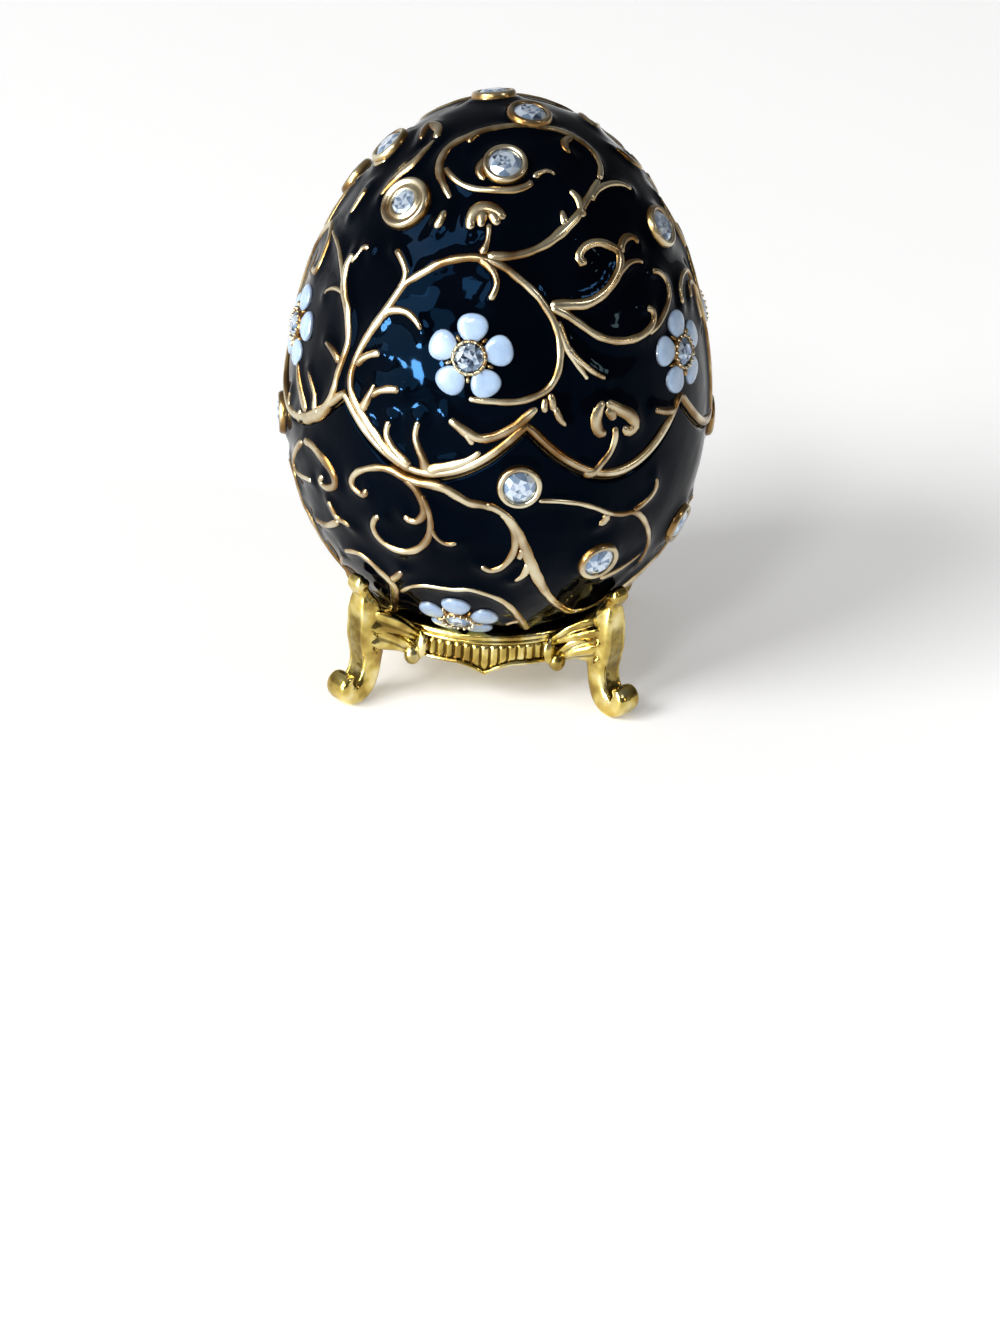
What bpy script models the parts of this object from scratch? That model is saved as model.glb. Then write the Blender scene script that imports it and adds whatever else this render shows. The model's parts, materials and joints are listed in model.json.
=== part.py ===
"""Jewelled egg trinket box on a gilt scroll stand.

An enamelled cast egg opens on a hinge at its back and stands on a ring with four scrolled legs.
Millimetres are used throughout and turned into metres where a mesh is made.
The origin is on the egg's axis, level with the soles of the feet.  The front faces -Y and the hinge is at +Y.
Azimuth is measured in degrees from the front towards +X, and latitude in degrees up from the
equator.
"""
import math

import bmesh
import bpy
import numpy as np
from mathutils import Matrix, Vector

MM = 0.001

# Egg
EGG_RADIUS = 24.0
EGG_UPPER_HEIGHT = 35.5
EGG_LOWER_HEIGHT = 26.5
WALL = 1.6

# Wavy seam between lid and base, in degrees of latitude
SEAM_LOBES = 7
SEAM_LOW_LATITUDE = 1.0
SEAM_HIGH_LATITUDE = 11.0
SEAM_FRONT_CUSP_AZIMUTH = 8.0
SEAM_ROUNDNESS = 1.9
SEAM_FLAT_FROM_AZIMUTH = 150.0
SEAM_FADE_WIDTH = 35.0
SEAM_GAP = 0.4
WAVE_REACH_LATITUDE = 20.0
LID_BEAD_WIDTH = 1.1
LID_BEAD_HEIGHT = 0.45
BASE_BEAD_WIDTH = 0.6
BASE_BEAD_HEIGHT = 0.25
BEAD_SLOPE_WIDTH = 0.4
BEAD_ENDS_BEFORE_BACK = 20.0
LOBE_STEPS = 6
OUTER_ROWS = 7
INNER_ROWS = 5

# Raised scrollwork
VINE_WIDTH = 1.2
VINE_TIP_SHARE = 0.6
VINE_HEIGHT = 0.5
VINE_CREST_SHARE = 0.5
RELIEF_ROOT = 0.5
VINE_STEP = 4.2
VINE_HINGE_MARGIN = 1.2

# Stones and their settings
STONE_DIAMETER = 4.0
FLOWER_STONE_DIAMETER = 3.2
STONE_SIDES = 8
STONE_TABLE_SHARE = 0.55
STONE_CROWN_SHARE = 0.17
STONE_PAVILION_SHARE = 0.32
GIRDLE_HEIGHT = 0.55
STONE_CLEARANCE = 0.3
BEZEL_WALL = 0.4
WIDE_BEZEL_WALL = 0.8
BEZEL_HEIGHT = 0.95
BEZEL_SIDES = 8
PETALS = 5
PETAL_RADIUS = 1.65
PETAL_CENTRE_RADIUS = 3.0
PETAL_HEIGHT = 0.45
PETAL_SIDES = 6

# Hinge at the back, its knuckles let into a notch in the wall
HINGE_AXIS_OUTSIDE = 0.3
HINGE_CLEARANCE = 0.35
KNUCKLE_RADIUS = 1.2
TONGUE_SHARE = 0.7
TONGUE_INSET = 0.1
LID_KNUCKLE_LENGTH = 3.6
BASE_KNUCKLE_LENGTH = 2.4
KNUCKLE_GAP = 0.3
PIN_RADIUS = 0.5
PIN_CLEARANCE = 0.25
PIN_HEAD_RADIUS = 0.9
PIN_HEAD_LENGTH = 0.5
LEAF_HEIGHT = 4.0
LEAF_THICKNESS = 0.8
HINGE_SIDES = 14

# Magnets that hold the lid shut, in bosses behind the lowest wave beside the front
MAGNET_RADIUS = 1.8
MAGNET_THICKNESS = 1.6
MAGNET_CLEARANCE = 0.25
MAGNET_RECESS = 0.2
MAGNET_BOSS_WALL = 0.6
MAGNET_BOSS_HEIGHT = 4.5
MAGNET_SIDES = 12

# Stand
RING_RADIUS = 14.7
RING_WALL = 1.5
RING_TOP_HEIGHT = 8.33
RING_HEIGHT = 3.2
RING_BOTTOM_HEIGHT = RING_TOP_HEIGHT - RING_HEIGHT
RING_LIP_HEIGHT = 0.6
RING_LIP_RISE = 0.3
FLUTE_DEPTH = 0.3
FLUTES_PER_QUARTER = 12
DROP_DEPTH = 1.2
DROP_SHARPNESS = 1.6
DROP_HALF_ANGLE = 13.0
STAND_CLEARANCE = 0.4
SAUCER_THICKNESS = 1.0
SAUCER_INSET = 0.3
SAUCER_ROWS = 5
SAUCER_SEGMENTS = 16
LEG_COUNT = 4
LEG_AZIMUTH = 45.0
LEG_WIDTH = 3.4
LEG_BEVEL = 0.55
LEG_BEVEL_DEPTH = 0.3
LEG_TOP_HEIGHT = 15.9
LEG_TOP_THICKNESS = 1.4
LEG_CURL = 1.2
LEG_CLEARANCE = 0.9
ANKLE_INSET = 0.6
ANKLE_HEIGHT = 4.6
ANKLE_THICKNESS = 2.8
FOOT_REACH = 2.8
FOOT_SCROLL_RADIUS = 2.1
SOLE_LENGTH = 1.8

# Acanthus leaves between a leg and the ring, and the knob below their ends
LEAF_GIRTH = 1.0
UPPER_LEAF_RISE = 0.4
LOWER_LEAF_RISE = -1.4
UPPER_LEAF_TURN = 13.5
LOWER_LEAF_TURN = 10.5
LEAF_TIP_REACH = 0.1
KNOB_TURN = 13.0
KNOB_RADIUS = 1.0
KNOB_DROP = 0.8

# Stations of a leaf: share of the way in to the ring, share of the turn, rise and half girth in leaf girths
LEAF_STATIONS = ((0.0, 0.08, -0.7, 0.7), (0.22, 0.3, 0.0, 1.0), (0.6, 0.65, -0.4, 1.0),
                 (1.0, 1.0, -1.3, 0.75))

# Screw that holds the egg to its stand
SCREW_RADIUS = 1.0
SCREW_CLEARANCE = 0.3
SCREW_HEAD_RADIUS = 2.4
SCREW_HEAD_HEIGHT = 1.3
SCREW_CHAMFER = 0.4
SCREW_REACH = 4.2
SCREW_BOSS_WALL = 1.4
SCREW_BOSS_HEIGHT = 3.6
SCREW_SIDES = 12

HIDDEN_BACK_TURN = 180.0

# Colours as linear RGB, metallic, roughness
ENAMEL = ("black_enamel", (0.004, 0.006, 0.012), 0.0, 0.08)
GOLD = ("pale_gold_plate", (0.72, 0.56, 0.30), 1.0, 0.28)
BRIGHT_GOLD = ("bright_gold_plate", (0.83, 0.61, 0.18), 1.0, 0.18)
WHITE_ENAMEL = ("white_enamel", (0.78, 0.84, 0.92), 0.0, 0.2)
CRYSTAL = ("foiled_crystal", (0.85, 0.88, 0.92), 0.3, 0.05)
STEEL = ("magnet_steel", (0.45, 0.45, 0.47), 1.0, 0.35)

# Scrollwork of the front half: name, width share, whether the hidden back repeats it, and its route.
# A point is an azimuth and a height in degrees.
# Heights under WAVE_REACH_LATITUDE are counted from the seam.
LID_VINES = (
    ("left_stem", 1.0, True, ((-51, 39), (-56, 37), (-56, 33), (-53, 28), (-48, 24), (-47, 19), (-50, 9),
                              (-53, 2))),
    ("bower", 1.0, True, ((-43, 3), (-43, 12), (-42, 22), (-37, 29), (-31, 35), (-21, 40), (-10, 42),
                          (-1, 41), (8, 38), (15, 32), (17, 26), (15, 19), (10, 14), (1, 14), (-7, 17))),
    ("bower_branch", 0.9, False, ((-32, 34), (-34, 37), (-40, 41))),
    ("front_frond", 1.0, False, ((-42, 20), (-37, 27), (-31, 30), (-26, 29), (-23, 26))),
    ("low_frond", 0.9, False, ((10, 11), (6, 6), (0, 6), (-7, 9), (-12, 11))),
    ("left_frond", 0.9, False, ((-37, 4), (-37, 10), (-33, 14), (-26, 15))),
    ("upper_curl", 1.0, True, ((16, 34), (25, 33), (34, 34), (42, 38), (43, 42), (37, 45), (30, 44),
                               (27, 41))),
    ("lower_curl", 0.9, False, ((17, 33), (24, 29), (33, 26), (42, 25), (49, 27), (50, 31))),
    ("outer_curl", 0.9, False, ((42, 25), (53, 26), (61, 31), (60, 36))),
    ("hanging_leaf", 0.9, False, ((17, 28), (21, 23), (27, 20), (32, 19))),
    ("heart_stem", 0.8, False, ((26, 2), (31, 4), (33, 9))),
    ("heart", 1.0, False, ((30, 8), (27, 11), (29, 15), (35, 12), (38, 8), (34, 7))),
    ("cusp_hook", 0.9, False, ((54, 2), (50, 8), (45, 10))),
    ("cap_leaf", 1.7, False, ((-14, 49), (-14, 52), (-7, 54), (0, 51))),
    ("right_arc", 1.0, True, ((-1, 42), (13, 46), (28, 50), (38, 53), (52, 57), (62, 56), (66, 53))),
    ("right_leaf", 1.0, False, ((33, 52), (33, 55), (28, 57))),
    ("crown", 1.0, True, ((40, 54), (56, 60), (68, 66), (64, 71), (40, 76), (0, 78), (-30, 72), (-43, 66),
                          (-38, 60), (-26, 54))),
    ("eye_tail", 1.0, False, ((-38, 61), (-24, 57), (-8, 57))),
    ("left_wing", 1.4, False, ((-54, 66), (-56, 60), (-62, 53), (-57, 46))),
)
BASE_VINES = (
    ("scroll", 1.0, True, ((-36, -9), (-40, -9), (-36, -4), (-26, -1), (-15, -1), (-6, -4), (3, -9),
                           (14, -8), (24, -7), (31, -9), (28, -12))),
    ("far_scroll", 0.9, False, ((31, -9), (40, -10), (47, -15), (48, -22))),
    ("rising_twig", 0.9, False, ((39, -9), (45, -8), (48, -5))),
    ("trunk", 1.0, True, ((3, -9), (9, -15), (13, -22), (18, -31), (25, -38), (35, -42))),
    ("trunk_hook", 1.0, False, ((5, -12), (8, -16), (5, -21), (-3, -21))),
    ("cup", 1.0, False, ((-23, -1), (-18, -6), (-17, -14), (-22, -20), (-30, -21), (-34, -17))),
    ("cup_tail", 0.8, False, ((-17, -9), (-15, -13), (-9, -15))),
    ("arch", 1.0, True, ((-30, -35), (-21, -31), (-8, -29), (4, -32), (11, -40))),
    ("arch_left", 1.0, True, ((-54, -29), (-42, -27), (-33, -32), (-31, -38))),
    ("loop", 1.0, False, ((-57, -12), (-66, -13), (-67, -7), (-61, -3), (-51, -6), (-47, -11), (-53, -12))),
    ("left_twig", 0.8, False, ((-51, -14), (-47, -18), (-43, -19))),
)

# Settings: name, azimuth, latitude, kind, and whether the hidden back repeats it
LID_SETTINGS = (
    ("front_flower", -8.1, 23.8, "flower", True),
    ("left_flower", -77.2, 17.3, "flower", True),
    ("right_flower", 60.8, 19.5, "flower", True),
    ("left_shoulder", -43.4, 50.1, "wide", True),
    ("brow", -2.0, 63.8, "bezel", True),
    ("crown", 31.4, 81.0, "bezel", True),
    ("left_crown", -87.8, 57.7, "bezel", False),
    ("right_shoulder", 70.8, 43.0, "bezel", True),
)
BASE_SETTINGS = (
    ("front", 6.7, -5.9, "bezel", False),
    ("front_flower", -10.7, -46.0, "flower", True),
    ("right", 31.9, -21.6, "bezel", True),
    ("far_right", 67.5, -20.9, "bezel", True),
    ("left", -84.6, -4.9, "bezel", True),
)


def seat_latitude():
    """Latitude below the equator, in radians, at which the egg meets the edge of the saucer."""
    return math.acos((RING_RADIUS - RING_WALL - SAUCER_INSET) / EGG_RADIUS)


def seat_rise():
    """Height of the equator over the saucer's edge, with the clearance kept square to the egg."""
    t = seat_latitude()
    slope = math.hypot(math.cos(t) / EGG_RADIUS, math.sin(t) / EGG_LOWER_HEIGHT)
    return EGG_LOWER_HEIGHT * math.sin(t) + STAND_CLEARANCE * math.sin(t) / EGG_LOWER_HEIGHT / slope


# The egg rests in the stand, so that the saucer's edge is level with the ring's top
EQUATOR_HEIGHT = RING_TOP_HEIGHT + seat_rise()


def clear_scene():
    """Removes every object so that the model starts from an empty scene."""
    for thing in list(bpy.data.objects):
        bpy.data.objects.remove(thing, do_unlink=True)


def make_material(look):
    """Returns the Principled material of a named look, made once."""
    name, colour, metallic, roughness = look
    material = bpy.data.materials.get(name)
    if material:
        return material
    material = bpy.data.materials.new(name)
    material.use_nodes = True
    shader = material.node_tree.nodes["Principled BSDF"]
    shader.inputs["Base Color"].default_value = (*colour, 1.0)
    shader.inputs["Metallic"].default_value = metallic
    shader.inputs["Roughness"].default_value = roughness
    material.diffuse_color = (*colour, 1.0)
    return material


def mesh_object(name, points, faces, look):
    """Makes an object from points in millimetres and lists of corner numbers."""
    mesh = bpy.data.meshes.new(name)
    mesh.from_pydata([Vector(p) * MM for p in points], [], faces)
    mesh.validate()
    thing = bpy.data.objects.new(name, mesh)
    mesh.materials.append(make_material(look))
    bpy.context.scene.collection.objects.link(thing)
    return thing


def face_outwards(thing):
    """Turns a closed mesh's faces outwards."""
    work = bmesh.new()
    work.from_mesh(thing.data)
    bmesh.ops.recalc_face_normals(work, faces=work.faces)
    if work.calc_volume(signed=True) < 0:
        bmesh.ops.reverse_faces(work, faces=work.faces)
    work.to_mesh(thing.data)
    work.free()
    return thing


def ring_solid(name, rings, look):
    """Joins a list of equal closed rings of points into a tube and caps both its ends."""
    count = len(rings[0])
    points = [p for ring in rings for p in ring]
    faces = [list(range(count))[::-1]]
    for k in range(len(rings) - 1):
        for i in range(count):
            j = (i + 1) % count
            faces.append([k * count + i, k * count + j, (k + 1) * count + j, (k + 1) * count + i])
    last = (len(rings) - 1) * count
    faces.append([last + i for i in range(count)])
    return face_outwards(mesh_object(name, points, faces, look))


def turned_solid(name, profile, sides, place, look):
    """Turns a profile of (radius, height) pairs about its own axis, then puts it in place."""
    rings = []
    for radius, height in profile:
        angles = [2 * math.pi * (i + 0.5) / sides for i in range(sides)]
        rings.append([place @ Vector((radius * math.cos(a), radius * math.sin(a), height)) for a in angles])
    return ring_solid(name, rings, look)


def combine(body, tools, operation):
    """Fuses the tools with the body, or cuts them out of it, and removes them."""
    group = bpy.data.collections.new("tools")
    bpy.context.scene.collection.children.link(group)
    for tool in tools:
        bpy.context.scene.collection.objects.unlink(tool)
        group.objects.link(tool)
    step = body.modifiers.new(operation.lower(), "BOOLEAN")
    step.operation = operation
    step.operand_type = "COLLECTION"
    step.collection = group
    step.solver = "EXACT"
    step.material_mode = "TRANSFER"
    bpy.context.view_layer.update()
    finished = bpy.data.meshes.new_from_object(body.evaluated_get(bpy.context.evaluated_depsgraph_get()))
    body.modifiers.clear()
    body.data = finished
    for tool in tools:
        bpy.data.objects.remove(tool, do_unlink=True)
    bpy.data.collections.remove(group)
    return body


def egg_half_height(latitude):
    """Height of the half ellipse that a latitude lies on."""
    return EGG_UPPER_HEIGHT if latitude > 0 else EGG_LOWER_HEIGHT


def egg_frame(azimuth, latitude):
    """Returns the point of the egg's outer surface, its normal, its eastward and its upward tangent."""
    a, t = math.radians(azimuth), math.radians(latitude)
    half = egg_half_height(latitude)
    radial = Vector((math.sin(a), -math.cos(a), 0.0))
    up = Vector((0.0, 0.0, 1.0))
    point = radial * EGG_RADIUS * math.cos(t) + up * (EQUATOR_HEIGHT + half * math.sin(t))
    normal = (radial * math.cos(t) / EGG_RADIUS + up * math.sin(t) / half).normalized()
    east = Vector((math.cos(a), math.sin(a), 0.0))
    return point, normal, east, normal.cross(east)


def egg_point(azimuth, latitude, lift=0.0):
    """Point at a height above the egg's outer surface."""
    point, normal, _, _ = egg_frame(azimuth, latitude)
    return point + normal * lift


def on_egg(point):
    """Moves a point along its line from the egg's centre onto the outer surface, with the normal there."""
    local = Vector(point) - Vector((0.0, 0.0, EQUATOR_HEIGHT))
    half = EGG_UPPER_HEIGHT if local.z > 0 else EGG_LOWER_HEIGHT
    squares = Vector((1 / EGG_RADIUS ** 2, 1 / EGG_RADIUS ** 2, 1 / half ** 2))
    size = math.sqrt(sum(squares[i] * local[i] ** 2 for i in range(3)))
    local /= size
    normal = Vector([squares[i] * local[i] for i in range(3)]).normalized()
    return local + Vector((0.0, 0.0, EQUATOR_HEIGHT)), normal


def back_distance(azimuth):
    """Degrees between an azimuth and the hinge at the back."""
    return 180.0 - abs((azimuth + 180.0) % 360.0 - 180.0)


def smooth(value):
    """Smooth step from 0 to 1."""
    value = min(max(value, 0.0), 1.0)
    return value * value * (3 - 2 * value)


def seam_turn(azimuth):
    """Turn of the waves: full at the front and none at the back, so that the hinge sits mid-wave."""
    return SEAM_FRONT_CUSP_AZIMUTH * (1 + math.cos(math.radians(azimuth))) / 2


def seam_station(index, per_lobe):
    """Azimuth at an even share of the way through the waves, found by repeating the turn."""
    even = 360.0 * index / (per_lobe * SEAM_LOBES)
    azimuth = even
    for _ in range(20):
        azimuth = even + seam_turn(azimuth)
    return azimuth


def seam_latitude(azimuth):
    """Latitude of the seam: arcs that hang between cusps, level near the hinge."""
    share = ((azimuth - seam_turn(azimuth)) * SEAM_LOBES / 360.0) % 1.0
    calm = smooth((back_distance(azimuth) - 180.0 + SEAM_FLAT_FROM_AZIMUTH) / SEAM_FADE_WIDTH)
    wave = abs(2 * share - 1) ** SEAM_ROUNDNESS
    return SEAM_LOW_LATITUDE + (SEAM_HIGH_LATITUDE - SEAM_LOW_LATITUDE) * calm * wave


def pattern_latitude(azimuth, height):
    """Latitude of a height that is counted from the seam where it is within the waves' reach."""
    if abs(height) >= WAVE_REACH_LATITUDE:
        return height
    seam = seam_latitude(azimuth)
    reach = WAVE_REACH_LATITUDE - seam if height > 0 else WAVE_REACH_LATITUDE + seam
    return seam + height * reach / WAVE_REACH_LATITUDE


def degrees_of(length):
    """Degrees of latitude that a length covers near the equator."""
    return math.degrees(length / EGG_UPPER_HEIGHT)


def shell(name, pole_latitude, bead_width, bead_height):
    """Half of the egg as one wall: outer rows from the seam to the pole and inner rows from there back."""
    upward = 1 if pole_latitude > 0 else -1
    stations = [seam_station(i, LOBE_STEPS) for i in range(LOBE_STEPS * SEAM_LOBES)]

    def row(share, extra, lift):
        ring = []
        for azimuth in stations:
            start = seam_latitude(azimuth) + upward * degrees_of(SEAM_GAP / 2 + extra)
            bead = smooth((back_distance(azimuth) - BEAD_ENDS_BEFORE_BACK / 2) / BEAD_ENDS_BEFORE_BACK)
            height = lift * bead if lift > 0 else lift
            ring.append(egg_point(azimuth, start + (pole_latitude - start) * share, height))
        return ring

    rings = [row(0, 0, bead_height), row(0, bead_width, bead_height)]
    rings.append(row(0, bead_width + BEAD_SLOPE_WIDTH, 0))
    rings += [row(k / OUTER_ROWS, 0, 0) for k in range(1, OUTER_ROWS)]
    inner = [row(k / INNER_ROWS, 0, -WALL) for k in range(0, INNER_ROWS)]
    count = len(stations)
    points = [p for ring in rings + inner for p in ring]
    outer_pole = len(points)
    points += [egg_point(0, pole_latitude), egg_point(0, pole_latitude, -WALL)]
    faces = []
    split = len(rings)
    for k in range(len(rings) + len(inner) - 1):
        if k == split - 1:
            continue
        for i in range(count):
            j = (i + 1) % count
            faces.append([k * count + i, k * count + j, (k + 1) * count + j, (k + 1) * count + i])
    for i in range(count):
        j = (i + 1) % count
        faces.append([(split - 1) * count + i, (split - 1) * count + j, outer_pole])
        last = (split + len(inner) - 1) * count
        faces.append([last + i, last + j, outer_pole + 1])
        faces.append([i, j, split * count + j, split * count + i])
    return face_outwards(mesh_object(name, points, faces, ENAMEL))


def smooth_path(points, step):
    """Points at even steps along a smooth curve through the given egg points."""
    knots = [egg_point(azimuth, latitude) for azimuth, latitude in points]
    knots = [knots[0] * 2 - knots[1]] + knots + [knots[-1] * 2 - knots[-2]]
    fine = []
    for k in range(1, len(knots) - 2):
        before, start, end, after = knots[k - 1:k + 3]
        for i in range(8):
            t = i / 8
            place = start * 2 + (end - before) * t + (before * 2 - start * 5 + end * 4 - after) * t ** 2
            place += (start * 3 - before - end * 3 + after) * t ** 3
            fine.append(place / 2)
    fine.append(knots[-2])
    lengths = [0.0]
    for i in range(1, len(fine)):
        lengths.append(lengths[-1] + (fine[i] - fine[i - 1]).length)
    count = max(2, round(lengths[-1] / step))
    wanted = np.linspace(0, lengths[-1], count + 1)
    columns = [np.interp(wanted, lengths, [p[i] for p in fine]) for i in range(3)]
    return [Vector(p) for p in zip(*columns)]


def clear_of_hinge(place):
    """Whether a place keeps a margin to the hinge, where the wall stays plain."""
    depth, height = hinge_axis()
    reach = KNUCKLE_RADIUS + KNUCKLE_GAP + LEAF_HEIGHT + VINE_HINGE_MARGIN
    aside = abs(place.x) > hinge_half_width() + VINE_HINGE_MARGIN
    return place.y < 0 or aside or abs(place.z - height) > reach


def vine(name, width_share, points, turn):
    """Raised stems along a route on the egg, tapering to the route's end and stopping short of the hinge."""
    route = [(azimuth + turn, pattern_latitude(azimuth + turn, height)) for azimuth, height in points]
    path = smooth_path(route, VINE_STEP)
    stretches = [[]]
    for share, place in zip(np.linspace(0, 1, len(path)), path):
        if clear_of_hinge(place):
            stretches[-1].append((share, place))
        elif stretches[-1]:
            stretches.append([])
    return [stem(name, width_share, stretch) for stretch in stretches if len(stretch) > 2]


def stem(name, width_share, stretch):
    """Raised bar along a stretch of (share of the route, place)."""
    path = [place for _, place in stretch]
    rings = []
    for i, (share, place) in enumerate(stretch):
        here, normal = on_egg(place)
        ahead = path[min(i + 1, len(path) - 1)] - path[max(i - 1, 0)]
        side = normal.cross(ahead).normalized()
        taper = 1 - (1 - VINE_TIP_SHARE) * share ** 2
        half = VINE_WIDTH * width_share * taper / 2
        section = ((-half, -RELIEF_ROOT), (-half * VINE_CREST_SHARE, VINE_HEIGHT),
                   (half * VINE_CREST_SHARE, VINE_HEIGHT), (half, -RELIEF_ROOT))
        rings.append([here + side * across + normal * rise for across, rise in section])
    return ring_solid(name, rings, GOLD)


def setting_frame(azimuth, latitude):
    """Matrix whose Z axis stands on the egg's surface and whose Y axis points up it."""
    point, normal, east, north = egg_frame(azimuth, latitude)
    return Matrix((
        (east.x, north.x, normal.x, point.x),
        (east.y, north.y, normal.y, point.y),
        (east.z, north.z, normal.z, point.z),
        (0, 0, 0, 1)))


def stone_diameter(kind):
    """Diameter of the stone that a kind of setting holds."""
    return FLOWER_STONE_DIAMETER if kind == "flower" else STONE_DIAMETER


def setting_relief(kind, place):
    """Metal of a setting: its ring, with five enamelled petals round it on a flower."""
    wall = WIDE_BEZEL_WALL if kind == "wide" else BEZEL_WALL
    outer = stone_diameter(kind) / 2 + STONE_CLEARANCE + wall
    profile = ((outer, -RELIEF_ROOT), (outer - wall * 0.3, BEZEL_HEIGHT))
    pieces = [turned_solid("bezel", profile, BEZEL_SIDES, place, GOLD)]
    if kind == "flower":
        for k in range(PETALS):
            angle = math.radians(90 + 360 * k / PETALS)
            centre = Vector((math.cos(angle), math.sin(angle), 0)) * PETAL_CENTRE_RADIUS
            petal = place @ Matrix.Translation(centre)
            profile = ((PETAL_RADIUS, -RELIEF_ROOT), (PETAL_RADIUS * 0.8, PETAL_HEIGHT))
            pieces.append(turned_solid("petal", profile, PETAL_SIDES, petal, WHITE_ENAMEL))
    return pieces


def stone_profile(diameter, clearance):
    """Pavilion radius and heights of a stone, or of the pocket that leaves a clearance round it."""
    radius = diameter / 2 + clearance
    culet = GIRDLE_HEIGHT - diameter * STONE_PAVILION_SHARE - clearance
    return radius, culet


def setting_pocket(kind, place):
    """Cutter for the seat of a stone: its pavilion and girdle with clearance, open above."""
    radius, culet = stone_profile(stone_diameter(kind), STONE_CLEARANCE)
    profile = ((radius * 0.12, culet), (radius, GIRDLE_HEIGHT - STONE_CLEARANCE), (radius, BEZEL_HEIGHT * 2))
    return turned_solid("pocket", profile, BEZEL_SIDES, place, GOLD)


def stone(name, kind, place):
    """Round brilliant with a flat table, a faceted crown and a pointed pavilion."""
    diameter = stone_diameter(kind)
    radius, culet = stone_profile(diameter, 0.0)
    table = GIRDLE_HEIGHT + diameter * STONE_CROWN_SHARE
    points = [place @ Vector((0, 0, culet))]
    for i in range(STONE_SIDES):
        angle = 2 * math.pi * i / STONE_SIDES
        points.append(place @ Vector((radius * math.cos(angle), radius * math.sin(angle), GIRDLE_HEIGHT)))
    for i in range(STONE_SIDES):
        angle = 2 * math.pi * (i + 0.5) / STONE_SIDES
        reach = radius * STONE_TABLE_SHARE
        points.append(place @ Vector((reach * math.cos(angle), reach * math.sin(angle), table)))
    faces = [[STONE_SIDES + 1 + i for i in range(STONE_SIDES)]]
    for i in range(STONE_SIDES):
        j = (i + 1) % STONE_SIDES
        low, low_next = 1 + i, 1 + j
        high, high_next = STONE_SIDES + 1 + i, STONE_SIDES + 1 + j
        faces += [[0, low_next, low], [low, low_next, high], [low_next, high_next, high]]
    return face_outwards(mesh_object(name, points, faces, CRYSTAL))


def place_settings(part, settings):
    """Relief pieces, pocket cutters and stones of one half, with the hidden back's repeats."""
    relief, pockets = [], []
    for label, azimuth, height, kind, repeated in settings:
        turns = (("", 0.0), ("back_", HIDDEN_BACK_TURN)) if repeated else (("", 0.0),)
        for prefix, turn in turns:
            place = setting_frame(azimuth + turn, pattern_latitude(azimuth + turn, height))
            relief += setting_relief(kind, place)
            pockets.append(setting_pocket(kind, place))
            stone(f"{part}_stone_{prefix}{label}", kind, place)
    return relief, pockets


def place_vines(vines):
    """Scrollwork of one half of the egg, with the stems that the hidden back repeats."""
    pieces = []
    for name, share, repeated, points in vines:
        for turn in (0.0, HIDDEN_BACK_TURN) if repeated else (0.0,):
            pieces += vine(name, share, points, turn)
    return pieces


def hinge_axis():
    """Height and depth of the hinge axis, just behind the wall at the level of the seam."""
    back = egg_point(180.0, seam_latitude(180.0))
    return back.y + HINGE_AXIS_OUTSIDE, back.z


def rod(name, radius, start, end, look, sides=HINGE_SIDES):
    """Round bar along X on the hinge axis."""
    depth, height = hinge_axis()
    place = Matrix.Translation((start, depth, height)) @ Matrix.Rotation(math.pi / 2, 4, "Y")
    return turned_solid(name, ((radius, 0.0), (radius, end - start)), sides, place, look)


def box(name, low, high, look):
    """Block between two corners."""
    points = [(x, y, z) for x in (low[0], high[0]) for y in (low[1], high[1]) for z in (low[2], high[2])]
    faces = [[0, 1, 3, 2], [4, 6, 7, 5], [0, 4, 5, 1], [2, 3, 7, 6], [0, 2, 6, 4], [1, 5, 7, 3]]
    return face_outwards(mesh_object(name, points, faces, look))


def hinge_half_width():
    """Half of the hinge's length along its pin."""
    return LID_KNUCKLE_LENGTH / 2 + KNUCKLE_GAP + BASE_KNUCKLE_LENGTH


def hinge_leaf(name, upward):
    """Leaf that follows the egg's wall above or below the knuckles."""
    depth, height = hinge_axis()
    near = upward * (KNUCKLE_RADIUS + KNUCKLE_GAP)
    rows = [height + near + upward * LEAF_HEIGHT * k / 2 for k in range(3)]
    columns = np.linspace(-hinge_half_width(), hinge_half_width(), 5)
    rings = []
    for x in columns:
        ring = []
        for z in rows + rows[::-1]:
            latitude = math.degrees(math.asin((z - EQUATOR_HEIGHT) / egg_half_height(z - EQUATOR_HEIGHT)))
            azimuth = 180.0 - math.degrees(math.asin(x / (EGG_RADIUS * math.cos(math.radians(latitude)))))
            lift = HINGE_CLEARANCE if len(ring) < len(rows) else HINGE_CLEARANCE + LEAF_THICKNESS
            ring.append(egg_point(azimuth, latitude, lift))
        rings.append(ring)
    return ring_solid(name, rings, GOLD)


def hinge_half(name, upward, spans):
    """A hinge leaf with its knuckles and the tongues that join them, bored for the pin."""
    depth, height = hinge_axis()
    body = hinge_leaf(name, upward)
    extras = []
    for start, end in spans:
        extras.append(rod("knuckle", KNUCKLE_RADIUS, start, end, GOLD))
        reach = KNUCKLE_RADIUS + KNUCKLE_GAP + LEAF_HEIGHT / 4
        low, high = height + min(0.0, upward * reach), height + max(0.0, upward * reach)
        front = depth - HINGE_AXIS_OUTSIDE + HINGE_CLEARANCE
        back = front + KNUCKLE_RADIUS * TONGUE_SHARE
        near, far = start + TONGUE_INSET, end - TONGUE_INSET
        extras.append(box("tongue", (near, front, low), (far, back, high), GOLD))
    combine(body, extras, "UNION")
    reach = hinge_half_width() + KNUCKLE_GAP
    combine(body, [rod("bore", PIN_RADIUS + PIN_CLEARANCE, -reach, reach, GOLD)], "DIFFERENCE")
    return body


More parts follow.
